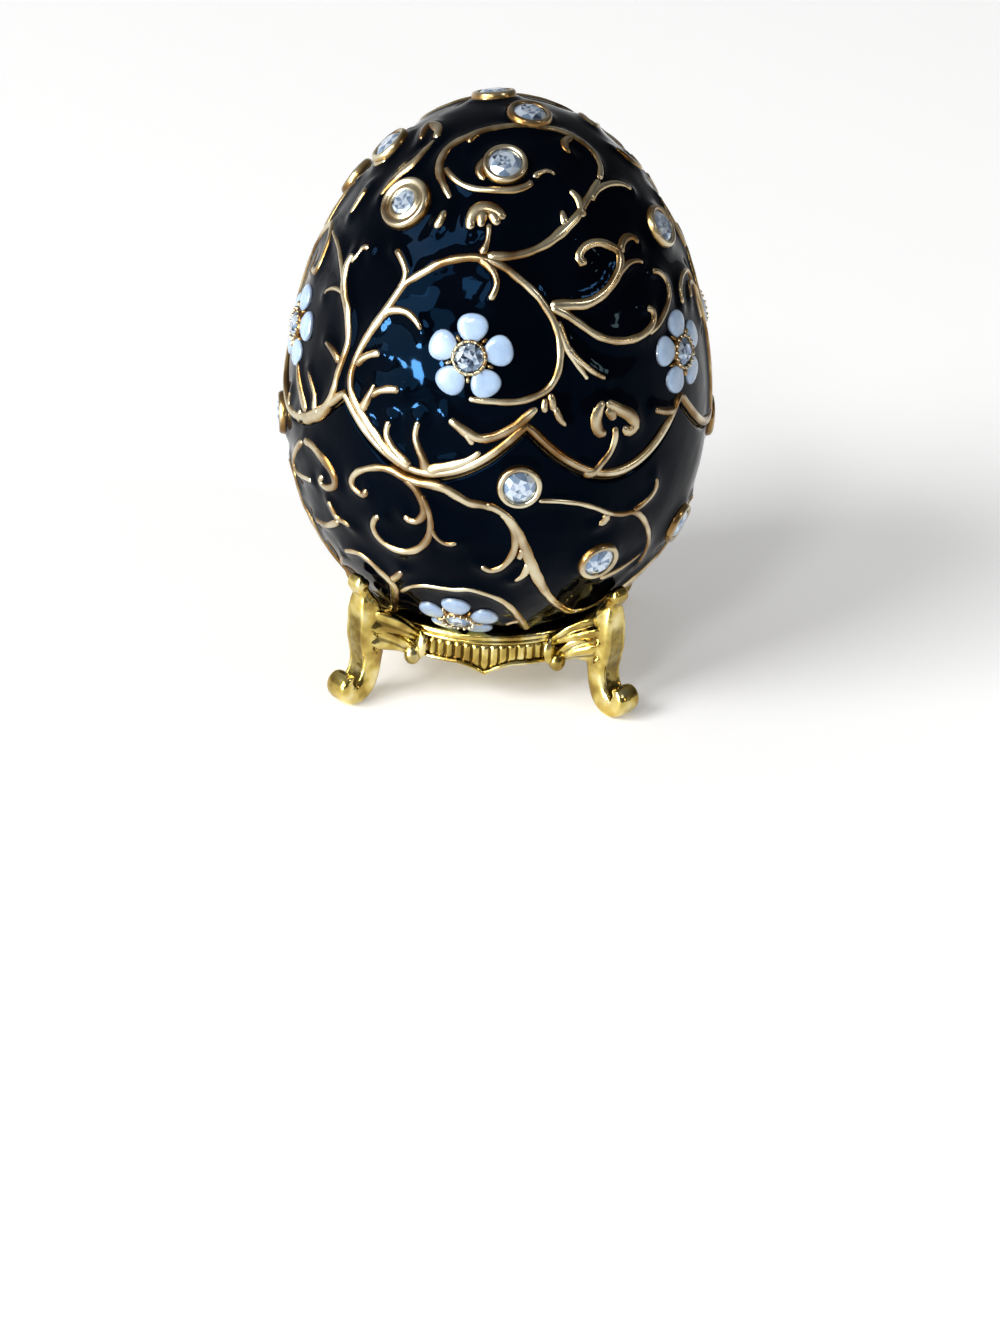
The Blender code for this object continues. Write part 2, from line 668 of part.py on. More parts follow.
def hinge_notch():
    """Cutter for the half-round notch that both walls leave for the knuckles."""
    reach = hinge_half_width() + 2 * KNUCKLE_GAP + PIN_HEAD_LENGTH
    return rod("notch", KNUCKLE_RADIUS + HINGE_CLEARANCE, -reach, reach, ENAMEL)


def hang_lid():
    """Parents every piece of the lid to an empty on the hinge axis, the place that it turns about."""
    depth, height = hinge_axis()
    pivot = bpy.data.objects.new("pivot_of_lid", None)
    pivot.location = Vector((0, depth, height)) * MM
    bpy.context.scene.collection.objects.link(pivot)
    bpy.context.view_layer.update()
    for thing in bpy.data.objects:
        if thing.name.startswith("lid_"):
            thing.parent = pivot
            thing.matrix_parent_inverse = pivot.matrix_world.inverted()


def build_hinge():
    """The three pieces of the hinge: lid leaf, base leaf and pin."""
    half = LID_KNUCKLE_LENGTH / 2
    outer = half + KNUCKLE_GAP + BASE_KNUCKLE_LENGTH
    hinge_half("lid_hinge_leaf", 1, ((-half, half),))
    spans = ((-outer, -half - KNUCKLE_GAP), (half + KNUCKLE_GAP, outer))
    hinge_half("base_hinge_leaf", -1, spans)
    pin = rod("hinge_pin", PIN_RADIUS, -outer - KNUCKLE_GAP, outer + KNUCKLE_GAP, BRIGHT_GOLD)
    heads = []
    for side in (-1, 1):
        ends = sorted((side * (outer + KNUCKLE_GAP), side * (outer + KNUCKLE_GAP + PIN_HEAD_LENGTH)))
        heads.append(rod("head", PIN_HEAD_RADIUS, ends[0], ends[1], BRIGHT_GOLD))
    combine(pin, heads, "UNION")


def magnet_azimuth():
    """Azimuth of the lowest point of the wave beside the front cusp."""
    return seam_station(-LOBE_STEPS / 2, LOBE_STEPS)


def magnet_boss_radius():
    """Outer radius of a magnet's boss."""
    return MAGNET_RADIUS + MAGNET_CLEARANCE + MAGNET_BOSS_WALL


def magnet_axis():
    """Horizontal place of both magnets, with the bosses sunk in the wall."""
    azimuth = math.radians(magnet_azimuth())
    reach = EGG_RADIUS - WALL - magnet_boss_radius() + WALL * 0.55
    return Vector((math.sin(azimuth), -math.cos(azimuth), 0)) * reach


def magnet_levels():
    """Meeting heights of the two bosses: under the lid's lowest edge, and over the base's edge there."""
    spread = math.degrees(magnet_boss_radius() / magnet_axis().length)
    lowest = egg_point(0, seam_latitude(magnet_azimuth())).z
    beside = max(egg_point(0, seam_latitude(magnet_azimuth() + side * spread)).z for side in (-1, 1))
    return lowest - SEAM_GAP / 2, beside + SEAM_GAP


def magnet_boss(upward):
    """Boss on the inside of the wall and the cutter for its pocket."""
    base_level, lid_level = magnet_levels()
    level = lid_level if upward > 0 else base_level
    place = Matrix.Translation(magnet_axis() + Vector((0, 0, level)))
    outer = magnet_boss_radius()
    inner = MAGNET_RADIUS + MAGNET_CLEARANCE
    depth = MAGNET_RECESS + MAGNET_THICKNESS + MAGNET_CLEARANCE
    wall = ((outer, 0.0), (outer, upward * MAGNET_BOSS_HEIGHT))
    boss = turned_solid("boss", wall, MAGNET_SIDES, place, ENAMEL)
    seat = ((inner, -upward * MAGNET_BOSS_WALL), (inner, upward * depth))
    pocket = turned_solid("pocket", seat, MAGNET_SIDES, place, ENAMEL)
    near, far = upward * MAGNET_RECESS, upward * (MAGNET_RECESS + MAGNET_THICKNESS)
    name = "lid_magnet" if upward > 0 else "base_magnet"
    turned_solid(name, ((MAGNET_RADIUS, near), (MAGNET_RADIUS, far)), MAGNET_SIDES, place, STEEL)
    return boss, pocket


def egg_bottom():
    """Height of the egg's lowest point."""
    return EQUATOR_HEIGHT - EGG_LOWER_HEIGHT


def screw_boss():
    """Boss inside the base's bottom and the cutter for the screw's blind hole."""
    floor = egg_bottom()
    outer = SCREW_RADIUS + SCREW_CLEARANCE + SCREW_BOSS_WALL
    inner = SCREW_RADIUS + SCREW_CLEARANCE
    place = Matrix.Identity(4)
    top = floor + WALL + SCREW_BOSS_HEIGHT
    boss = turned_solid("boss", ((outer, floor + WALL / 2), (outer, top)), SCREW_SIDES, place, ENAMEL)
    depth = floor + SCREW_REACH + SCREW_CLEARANCE
    hole = turned_solid("hole", ((inner, floor - WALL), (inner, depth)), SCREW_SIDES, place, ENAMEL)
    return boss, hole


def build_egg():
    """Lid and base walls with their relief, settings, stones, magnets and bosses."""
    for part, pole, width, height, vines, settings, upward in (
            ("lid", 90.0, LID_BEAD_WIDTH, LID_BEAD_HEIGHT, LID_VINES, LID_SETTINGS, 1),
            ("base", -90.0, BASE_BEAD_WIDTH, BASE_BEAD_HEIGHT, BASE_VINES, BASE_SETTINGS, -1)):
        body = shell(f"{part}_shell", pole, width, height)
        relief, pockets = place_settings(part, settings)
        boss, pocket = magnet_boss(upward)
        relief += place_vines(vines) + [boss]
        pockets += [pocket, hinge_notch()]
        if part == "base":
            boss, hole = screw_boss()
            relief.append(boss)
            pockets.append(hole)
        combine(body, relief, "UNION")
        combine(body, pockets, "DIFFERENCE")


def hoop(name, rings, look):
    """Joins closed sections that go once round an axis into a ring without ends."""
    count = len(rings[0])
    points = [p for ring in rings for p in ring]
    faces = []
    for k in range(len(rings)):
        following = (k + 1) % len(rings)
        for i in range(count):
            j = (i + 1) % count
            faces.append([k * count + i, k * count + j, following * count + j, following * count + i])
    return face_outwards(mesh_object(name, points, faces, look))


def ring_bottom(azimuth):
    """Lower edge of the stand's ring: level, with a pointed drop midway between the legs."""
    quarter = 360.0 / LEG_COUNT
    middle = abs((azimuth - LEG_AZIMUTH + quarter) % quarter - quarter / 2)
    share = max(0.0, 1 - middle / DROP_HALF_ANGLE)
    return RING_BOTTOM_HEIGHT - DROP_DEPTH * share ** DROP_SHARPNESS


def stand_ring():
    """Fluted ring of the stand with a plain lip on top and pointed drops below."""
    steps = 2 * FLUTES_PER_QUARTER * LEG_COUNT
    rings = []
    inner = RING_RADIUS - RING_WALL
    lip_bottom = RING_TOP_HEIGHT - RING_LIP_HEIGHT
    for i in range(steps):
        azimuth = 360.0 * i / steps
        a = math.radians(azimuth)
        radial = Vector((math.sin(a), -math.cos(a), 0))
        outer = RING_RADIUS - FLUTE_DEPTH * (i % 2)
        bottom = ring_bottom(azimuth)
        lip = RING_RADIUS + RING_LIP_RISE
        section = ((inner, RING_TOP_HEIGHT), (lip, RING_TOP_HEIGHT), (lip, lip_bottom),
                   (outer, lip_bottom), (outer, bottom), (inner, bottom))
        rings.append([radial * r + Vector((0, 0, z)) for r, z in section])
    return hoop("stand", rings, BRIGHT_GOLD)


def saucer():
    """Dish of the stand that carries the egg's bottom, with a hole for the screw."""
    hole = SCREW_RADIUS + SCREW_CLEARANCE
    edge = math.degrees(seat_latitude())
    middle = math.degrees(math.acos((hole + SCREW_CLEARANCE) / EGG_RADIUS))
    latitudes = np.linspace(-edge, -middle, SAUCER_ROWS)
    top = [egg_point(0, t, STAND_CLEARANCE) for t in latitudes]
    bottom = [egg_point(0, t, STAND_CLEARANCE + SAUCER_THICKNESS) for t in latitudes]
    profile = [(-p.y, p.z) for p in top] + [(hole, top[-1].z)]
    profile += [(hole, bottom[-1].z)] + [(-p.y, p.z) for p in reversed(bottom)]
    rings = []
    for i in range(SAUCER_SEGMENTS):
        a = 2 * math.pi * i / SAUCER_SEGMENTS
        rings.append([Vector((r * math.sin(a), -r * math.cos(a), z)) for r, z in profile])
    return hoop("saucer", rings, BRIGHT_GOLD)


def egg_radius_at(height):
    """Radius of the egg's lower half at a height."""
    share = (EQUATOR_HEIGHT - height) / EGG_LOWER_HEIGHT
    return EGG_RADIUS * math.sqrt(max(0.0, 1 - share * share))


def leg_outer_radius():
    """Radius of a leg's outer face, which leaves the egg its clearance at the leg's top."""
    return egg_radius_at(LEG_TOP_HEIGHT - LEG_CURL) + LEG_CLEARANCE + LEG_TOP_THICKNESS


def leg_outline():
    """Side view of a leg as (radius, height): curled top, swelling calf, ankle and a scrolled foot."""
    outer, top, curl = leg_outer_radius(), LEG_TOP_HEIGHT, LEG_CURL
    neck = top - curl
    points = [(egg_radius_at(neck) + LEG_CLEARANCE, neck), (outer - curl, top), (outer - curl * 0.3, top)]
    points += [(outer + curl * 0.2, top - curl * 0.6), (outer, top - curl * 1.5)]
    points += [(outer - curl * 0.4, top - curl * 2), (outer, (top + RING_TOP_HEIGHT) / 2)]
    points += [(outer, RING_TOP_HEIGHT), (outer - curl * 0.2, (RING_TOP_HEIGHT + ANKLE_HEIGHT) / 2)]
    ankle = outer - ANKLE_INSET
    points.append((ankle, ANKLE_HEIGHT))
    scroll = outer + FOOT_REACH - FOOT_SCROLL_RADIUS
    for angle in (115, 80, 45, 10, -25, -60):
        a = math.radians(angle)
        points.append((scroll + FOOT_SCROLL_RADIUS * math.cos(a), FOOT_SCROLL_RADIUS * (1 + math.sin(a))))
    sole = scroll - SOLE_LENGTH
    shin = ankle - ANKLE_THICKNESS
    points += [(scroll, 0.0), (sole, 0.0), (sole - curl * 0.6, curl * 0.6)]
    points += [((shin + sole) / 2 - curl * 0.3, ANKLE_HEIGHT * 0.4), (shin, ANKLE_HEIGHT)]
    inner = RING_RADIUS - RING_WALL / 2
    web = RING_BOTTOM_HEIGHT + RING_LIP_HEIGHT
    points += [((shin + inner) / 2 + curl, web), (inner, web + RING_LIP_HEIGHT)]
    points.append((inner, RING_TOP_HEIGHT - RING_LIP_HEIGHT))
    for share in (0.25, 0.6):
        height = RING_TOP_HEIGHT + (neck - RING_TOP_HEIGHT) * share
        points.append((egg_radius_at(height) + LEG_CLEARANCE, height))
    return points


def inset(outline, depth):
    """Anticlockwise outline drawn in by a depth, each corner square to the line between its neighbours."""
    drawn = []
    for i, (r, z) in enumerate(outline):
        before, after = outline[i - 1], outline[(i + 1) % len(outline)]
        along = Vector((after[0] - before[0], after[1] - before[1])).normalized()
        drawn.append((r - along.y * depth, z + along.x * depth))
    return drawn


def leg(azimuth):
    """One leg: its side view given a width, with both faces chamfered."""
    a = math.radians(azimuth)
    radial = Vector((math.sin(a), -math.cos(a), 0))
    across = Vector((math.cos(a), math.sin(a), 0))
    outline = leg_outline()[::-1]
    drawn = inset(outline, LEG_BEVEL_DEPTH)
    half = LEG_WIDTH / 2
    rings = []
    flank = half - LEG_BEVEL
    for line, offset in ((drawn, -half), (outline, -flank), (outline, flank), (drawn, half)):
        rings.append([radial * r + across * offset + Vector((0, 0, z)) for r, z in line])
    return ring_solid("leg", rings, BRIGHT_GOLD)


def leaf_sweep(name, azimuth, side, stations):
    """Fleshy leaf: six-sided sections along a route of (radius, turn from the leg, height, half girth)."""
    middle = []
    for radius, turn, height, half in stations:
        a = math.radians(azimuth + side * turn)
        middle.append((Vector((radius * math.sin(a), -radius * math.cos(a), height)), half))
    rings = []
    for i, (place, half) in enumerate(middle):
        ahead = (middle[min(i + 1, len(middle) - 1)][0] - middle[max(i - 1, 0)][0]).normalized()
        outward = Vector((place.x, place.y, 0)).normalized()
        lift = ahead.cross(outward).normalized()
        depth = lift.cross(ahead).normalized()
        angles = [2 * math.pi * k / 6 for k in range(6)]
        rings.append([place + (lift * math.cos(t) + depth * 0.7 * math.sin(t)) * half for t in angles])
    return ring_solid(name, rings, BRIGHT_GOLD)


def leg_leaves(azimuth):
    """Acanthus leaves that arch from a leg to the ring on both sides, and a knob below their ends."""
    pieces = []
    root = leg_outer_radius() - LEG_CURL
    tip = RING_RADIUS + LEAF_TIP_REACH
    for side in (-1, 1):
        for name, rise, turn in (("upper_leaf", UPPER_LEAF_RISE, UPPER_LEAF_TURN),
                                 ("lower_leaf", LOWER_LEAF_RISE, LOWER_LEAF_TURN)):
            stations = []
            for inward, around, lift, girth in LEAF_STATIONS:
                height = RING_TOP_HEIGHT + rise + lift * LEAF_GIRTH
                stations.append((root + (tip - root) * inward, turn * around, height, girth * LEAF_GIRTH))
            pieces.append(leaf_sweep(name, azimuth, side, stations))
        a = math.radians(azimuth + side * KNOB_TURN)
        bottom = RING_BOTTOM_HEIGHT - KNOB_DROP
        reach = RING_RADIUS + KNOB_RADIUS / 2
        place = Matrix.Translation((math.sin(a) * reach, -math.cos(a) * reach, bottom))
        half, full = KNOB_RADIUS / 2, KNOB_RADIUS
        profile = ((half, 0.0), (full, half), (full, full + half), (half, full * 2))
        pieces.append(turned_solid("knob", profile, 8, place, BRIGHT_GOLD))
    return pieces


def stand_screw():
    """Cheese-headed screw that comes up through the saucer into the base's boss."""
    head_top = egg_bottom() - STAND_CLEARANCE - SAUCER_THICKNESS - SCREW_CLEARANCE
    top = egg_bottom() + SCREW_REACH
    under = head_top - SCREW_HEAD_HEIGHT
    profile = ((SCREW_HEAD_RADIUS - SCREW_CHAMFER, under), (SCREW_HEAD_RADIUS, under + SCREW_CHAMFER),
               (SCREW_HEAD_RADIUS, head_top), (SCREW_RADIUS, head_top),
               (SCREW_RADIUS, top - SCREW_CHAMFER), (SCREW_RADIUS - SCREW_CHAMFER, top))
    return turned_solid("stand_screw", profile, SCREW_SIDES, Matrix.Identity(4), STEEL)


def build_stand():
    """The stand as one casting, and the screw that holds the egg to it."""
    body = stand_ring()
    pieces = [saucer()]
    for k in range(LEG_COUNT):
        azimuth = LEG_AZIMUTH + 360.0 * k / LEG_COUNT
        pieces.append(leg(azimuth))
        pieces += leg_leaves(azimuth)
    combine(body, pieces, "UNION")
    stand_screw()


def shade(thing):
    """Smooth shading with the creases kept."""
    thing.data.shade_smooth()
    thing.data.set_sharp_from_angle(angle=math.radians(32))


def main():
    """Builds the whole model."""
    clear_scene()
    build_egg()
    build_hinge()
    build_stand()
    hang_lid()
    for thing in bpy.data.objects:
        if thing.type == "MESH":
            shade(thing)


main()
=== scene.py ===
"""Jewelled egg trinket box on a gilt scroll stand, dressed for a picture.

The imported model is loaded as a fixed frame.  Each operator then makes one group of finished pieces:
enamelled walls, raised scrollwork, stone settings, stones, hinge, fittings and the stand, and the
last one sets the stage.  Lengths are metres.  A place on the egg is an azimuth in degrees from the
front towards +X and a latitude in degrees up from the equator.
"""
import json
import math

import bmesh
import bpy
import numpy as np
from mathutils import Matrix, Vector


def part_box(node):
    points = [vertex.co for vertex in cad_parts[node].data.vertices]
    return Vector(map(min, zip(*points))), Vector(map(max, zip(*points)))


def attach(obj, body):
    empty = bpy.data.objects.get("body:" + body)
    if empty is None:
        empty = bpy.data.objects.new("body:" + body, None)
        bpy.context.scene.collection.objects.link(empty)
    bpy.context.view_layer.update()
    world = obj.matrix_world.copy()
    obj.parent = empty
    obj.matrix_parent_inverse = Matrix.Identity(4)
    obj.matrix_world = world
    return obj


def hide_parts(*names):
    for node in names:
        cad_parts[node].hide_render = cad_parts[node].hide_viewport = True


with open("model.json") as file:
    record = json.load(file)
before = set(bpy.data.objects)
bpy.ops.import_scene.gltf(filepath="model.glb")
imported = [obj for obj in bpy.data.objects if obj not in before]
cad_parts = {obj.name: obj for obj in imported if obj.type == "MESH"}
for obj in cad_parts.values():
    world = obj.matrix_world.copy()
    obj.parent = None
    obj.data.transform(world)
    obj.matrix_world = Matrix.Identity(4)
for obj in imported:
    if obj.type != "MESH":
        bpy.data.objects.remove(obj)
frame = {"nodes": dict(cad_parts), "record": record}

bl_info = {
    "name": "Jewelled egg trinket box",
    "version": (1, 0, 0),
    "blender": (4, 5, 0),
    "location": "3D View > Sidebar > Trinket Box",
    "description": "Makes the finished pieces of an enamelled egg box over its packed model",
    "category": "Object",
}

MM = 0.001
X_AXIS, Y_AXIS, UP = np.eye(3)
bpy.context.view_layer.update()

# The camera, fitted to the photograph's frame of 1000 by 1333: place, target, roll and focal length in pixels
CAMERA_PLACE = (0.0, -0.32336, 0.16494)
CAMERA_TARGET = (0.00188, 0.0, -0.00251)
CAMERA_ROLL = 2.94
CAMERA_FOCAL = 3052.0
FRAME = (1000.0, 1333.0)
SENSOR = 36.0

# How far the lights stand from the middle of the box, and half the floor's side
LIGHT_DISTANCE = 3.0
BOX_MIDDLE = 0.035
FLOOR_REACH = 4.0

WHITE = (1.0, 1.0, 1.0)

# Lights: name, azimuth and elevation in degrees, width and height, radiance, tint and whether only mirrored
LIGHTS = (
    ("key", -56.0, 34.0, (1.5, 1.3), 13.5, WHITE, False),
    ("upper_window", -22.0, 36.0, (0.4, 0.6), 21.0, WHITE, False),
    ("pane", -47.0, 2.0, (0.36, 0.28), 300.0, WHITE, True),
    ("left_wall", -50.0, 13.0, (2.4, 1.1), 7.0, (0.9, 1.0, 1.0), True),
    ("right_glint", 62.0, 42.0, (0.22, 0.22), 40.0, WHITE, False),
    ("warm_glint", 74.0, 18.0, (0.16, 0.16), 40.0, (1.0, 0.72, 0.4), False),
)

# Waves of the seam round the egg and stations along each; rows of the coat, of its back and of the lining
WAVES = 7
WAVE_STATIONS = 60
COAT_ROWS, BACK_ROWS, LINING_ROWS = 110, 60, 48

# The egg's two halves, and which way each one's wall goes from the seam
PARTS = (("lid", 1), ("base", -1))

# Degrees from the hinge at which the lid's bead ends, and between which the waves set in
BEAD_END = 15.0
WAVES_START, WAVES_FULL = 30.0, 65.0

# Section of a scroll's bar, in degrees from its crest
BAR_ANGLES = (-118, -96, -72, -48, -24, 0, 24, 48, 72, 96, 118)

# Scrollwork: name, widths in millimetres at even steps from root to tip, then the points of the route.
# A point of a traced route is the place in the photograph's frame, across and down, where the stem shows.
LID_TRACED = (
    ("bower", (1.5, 1.5, 1.2, 1.0, 1.25, 1.0, 1.15, 1.1, 1.0, 1.0, 0.95, 0.95, 0.8), (414, 470),
     (400, 460), (388, 450), (378, 437), (368, 422), (360, 408), (354, 395), (352, 383), (353, 372),
     (357, 360), (362, 349), (368, 338), (375, 327), (383, 316), (391, 305), (399, 293), (406, 284),
     (415, 278), (427, 271), (440, 264), (453, 260), (466, 258), (478, 258), (492, 262), (505, 268),
     (515, 276), (527, 286), (538, 297), (547, 310), (555, 325), (559, 340), (560, 355), (558, 370),
     (553, 382), (545, 391), (533, 397), (520, 401), (505, 402), (490, 401), (477, 400), (467, 398)),
    ("bower hook", (1.3, 1.1, 0.8, 1.0), (478, 258), (487, 264), (494, 272), (497, 283), (494, 293),
     (489, 302)),
    ("bower bud", (1.4, 0.9, 1.0, 0.9), (400, 292), (405, 282), (407, 272), (404, 262), (400, 254),
     (396, 249)),
    ("high frond", (1.3, 1.1, 1.0, 0.7), (382, 318), (389, 311), (399, 310), (409, 313), (417, 321),
     (423, 332)),
    ("middle frond", (1.2, 1.0, 0.9), (356, 366), (364, 358), (373, 354), (383, 353)),
    ("low frond", (1.5, 1.1, 0.6), (361, 412), (366, 404), (370, 396), (374, 388), (377, 382)),
    ("low frond leaf", (1.0, 1.0, 1.1), (371, 397), (379, 391), (390, 389), (402, 390)),
    ("first tooth", (1.6, 1.1, 0.8), (412, 468), (402, 457), (393, 446), (388, 435), (388, 427),
     (391, 419)),
    ("second tooth", (1.5, 1.0, 0.7), (427, 472), (424, 459), (419, 447), (416, 436), (417, 427),
     (420, 419)),
    ("third tooth", (1.7, 1.4, 0.6), (425, 472), (440, 468), (455, 465), (468, 460), (477, 454),
     (482, 449)),
    ("long frond", (0.9, 1.3, 1.2, 1.2, 1.4, 0.9), (538, 406), (528, 415), (518, 424), (506, 431),
     (494, 436), (481, 438), (470, 434), (460, 427), (448, 418)),
    ("long frond leaf", (1.1, 1.0, 0.6), (464, 430), (469, 437), (474, 446)),
    ("first drop", (0.9, 0.9), (546, 396), (544, 405), (545, 414)),
    ("second drop", (1.0, 0.9), (549, 391), (552, 402), (553, 413)),
    ("third drop", (0.9, 1.0, 0.5), (554, 404), (559, 418), (567, 427)),
    ("cap arch", (1.0, 1.7, 1.7, 0.9), (471, 232), (471, 221), (477, 211), (487, 208), (497, 212),
     (506, 221)),
    ("cap lobe", (1.7, 1.5, 0.7), (485, 209), (482, 219), (481, 230)),
    ("second cap lobe", (1.7, 1.6, 0.7), (490, 209), (495, 218), (498, 228)),
    ("cap stem", (0.9, 0.7, 0.8, 1.5), (489, 222), (489, 233), (487, 244), (481, 257)),
    ("comma", (0.8, 1.2, 0.9), (447, 209), (442, 219), (435, 231)),
    ("right arc", (1.6, 1.1, 1.0, 1.4, 1.1, 1.0, 0.9), (485, 257), (500, 257), (515, 256), (530, 252),
     (545, 245), (557, 236), (568, 226), (577, 216), (583, 205), (590, 194), (598, 180)),
    ("arc leaf", (1.4, 1.1, 0.5), (567, 228), (563, 219), (561, 209)),
    ("second arc leaf", (1.2, 1.1, 0.8), (582, 220), (580, 208), (576, 198), (567, 190)),
    ("far arc", (1.0, 0.9, 0.7), (588, 202), (597, 190), (608, 185), (620, 185), (631, 191)),
    ("crown", (0.9, 0.9, 1.0, 1.0, 1.1, 1.3, 0.7), (598, 182), (599, 168), (592, 154), (578, 142),
     (560, 133), (540, 129), (520, 127), (500, 129), (485, 132), (470, 138), (457, 144), (447, 152),
     (441, 164), (441, 177), (446, 190), (452, 201)),
    ("crown bud", (1.0, 1.2, 0.7), (572, 138), (564, 143), (565, 150), (571, 157)),
    ("crown hook", (1.1, 1.0, 0.9), (482, 134), (473, 139), (469, 146)),
    ("brow tail", (1.0, 0.8, 0.9, 1.1, 1.0), (445, 168), (453, 178), (464, 186), (478, 190), (495, 191),
     (512, 191), (526, 187), (533, 181)),
    ("brow crescent", (0.6, 1.4, 1.1, 0.5), (500, 156), (489, 160), (481, 167), (480, 175), (487, 183)),
    ("brow tip", (1.0, 0.7, 0.5), (532, 180), (539, 174), (548, 172), (557, 178)),
    ("left wing", (0.5, 1.0, 1.6, 1.3, 0.5), (437, 140), (427, 151), (416, 163), (404, 173), (391, 186),
     (381, 198)),
    ("left wing hook", (1.0, 1.4, 1.2, 0.9), (437, 141), (439, 131), (431, 126), (425, 133),
     (422, 142)),
    ("left stem", (1.0, 1.4, 1.1, 1.0, 1.4, 1.5), (356, 253), (349, 265), (346, 280), (346, 294),
     (349, 309), (350, 325), (350, 341), (345, 358), (339, 375), (336, 388), (331, 401), (323, 413),
     (312, 424), (304, 430)),
    ("left stem tip", (0.9, 0.6, 0.9), (351, 263), (358, 257), (365, 248), (372, 249)),
    ("left hook", (0.8, 0.6, 0.4), (346, 294), (338, 289), (330, 290), (325, 296)),
    ("left leaf", (1.5, 1.0, 0.5), (342, 364), (337, 354), (331, 346), (326, 341)),
    ("left tooth", (1.4, 1.0, 0.8, 0.6), (322, 419), (317, 409), (317, 395), (313, 380), (310, 369)),
    ("far left tooth", (1.3, 1.0, 0.6), (302, 432), (301, 420), (303, 408)),
    ("upper curl", (1.5, 1.4, 1.2, 1.3, 1.2, 1.1, 1.3), (548, 306), (566, 305), (584, 304), (597, 298),
     (607, 289), (615, 277), (619, 264), (617, 252), (608, 246), (597, 243), (586, 246), (579, 254),
     (580, 262), (587, 260)),
    ("upper curl hook", (1.4, 1.1, 0.7), (619, 256), (620, 245), (625, 238), (632, 238), (638, 246)),
    ("upper curl leaf", (1.4, 0.9, 0.5), (613, 280), (620, 270), (628, 263), (637, 261), (643, 265)),
    ("lower curl", (1.2, 1.0, 1.0, 1.1, 0.9), (549, 307), (563, 313), (578, 323), (592, 333),
     (605, 339), (620, 341), (635, 338), (646, 331), (652, 321), (651, 311), (644, 307)),
    ("outer curl", (1.0, 0.9, 0.8), (646, 334), (656, 325), (663, 312), (667, 297), (665, 283),
     (658, 273), (649, 271)),
    ("hanging leaf", (1.3, 0.9, 0.6), (555, 320), (562, 336), (568, 351), (575, 362), (582, 372),
     (588, 381)),
    ("second leaf", (1.2, 0.8, 0.7), (566, 346), (573, 356), (583, 364), (593, 372), (606, 379)),
    ("heart left", (0.8, 1.6, 1.7, 1.0), (604, 399), (598, 409), (595, 422), (599, 432), (607, 432)),
    ("heart right", (1.0, 1.7, 1.7, 1.0), (604, 401), (616, 408), (629, 415), (634, 425), (627, 431),
     (621, 425)),
    ("heart middle", (1.6, 1.6, 1.0), (606, 405), (611, 414), (612, 422)),
    ("heart stem", (1.0, 0.9, 1.0, 1.6), (614, 424), (614, 437), (610, 450), (602, 461), (592, 472),
     (582, 478)),
    ("cusp hook", (1.4, 1.0, 0.9), (675, 417), (664, 411), (652, 409)),
    ("limb loop", (0.8, 0.8, 0.7), (681, 306), (678, 290), (680, 276), (685, 271), (689, 280),
     (694, 300), (699, 320)),
)
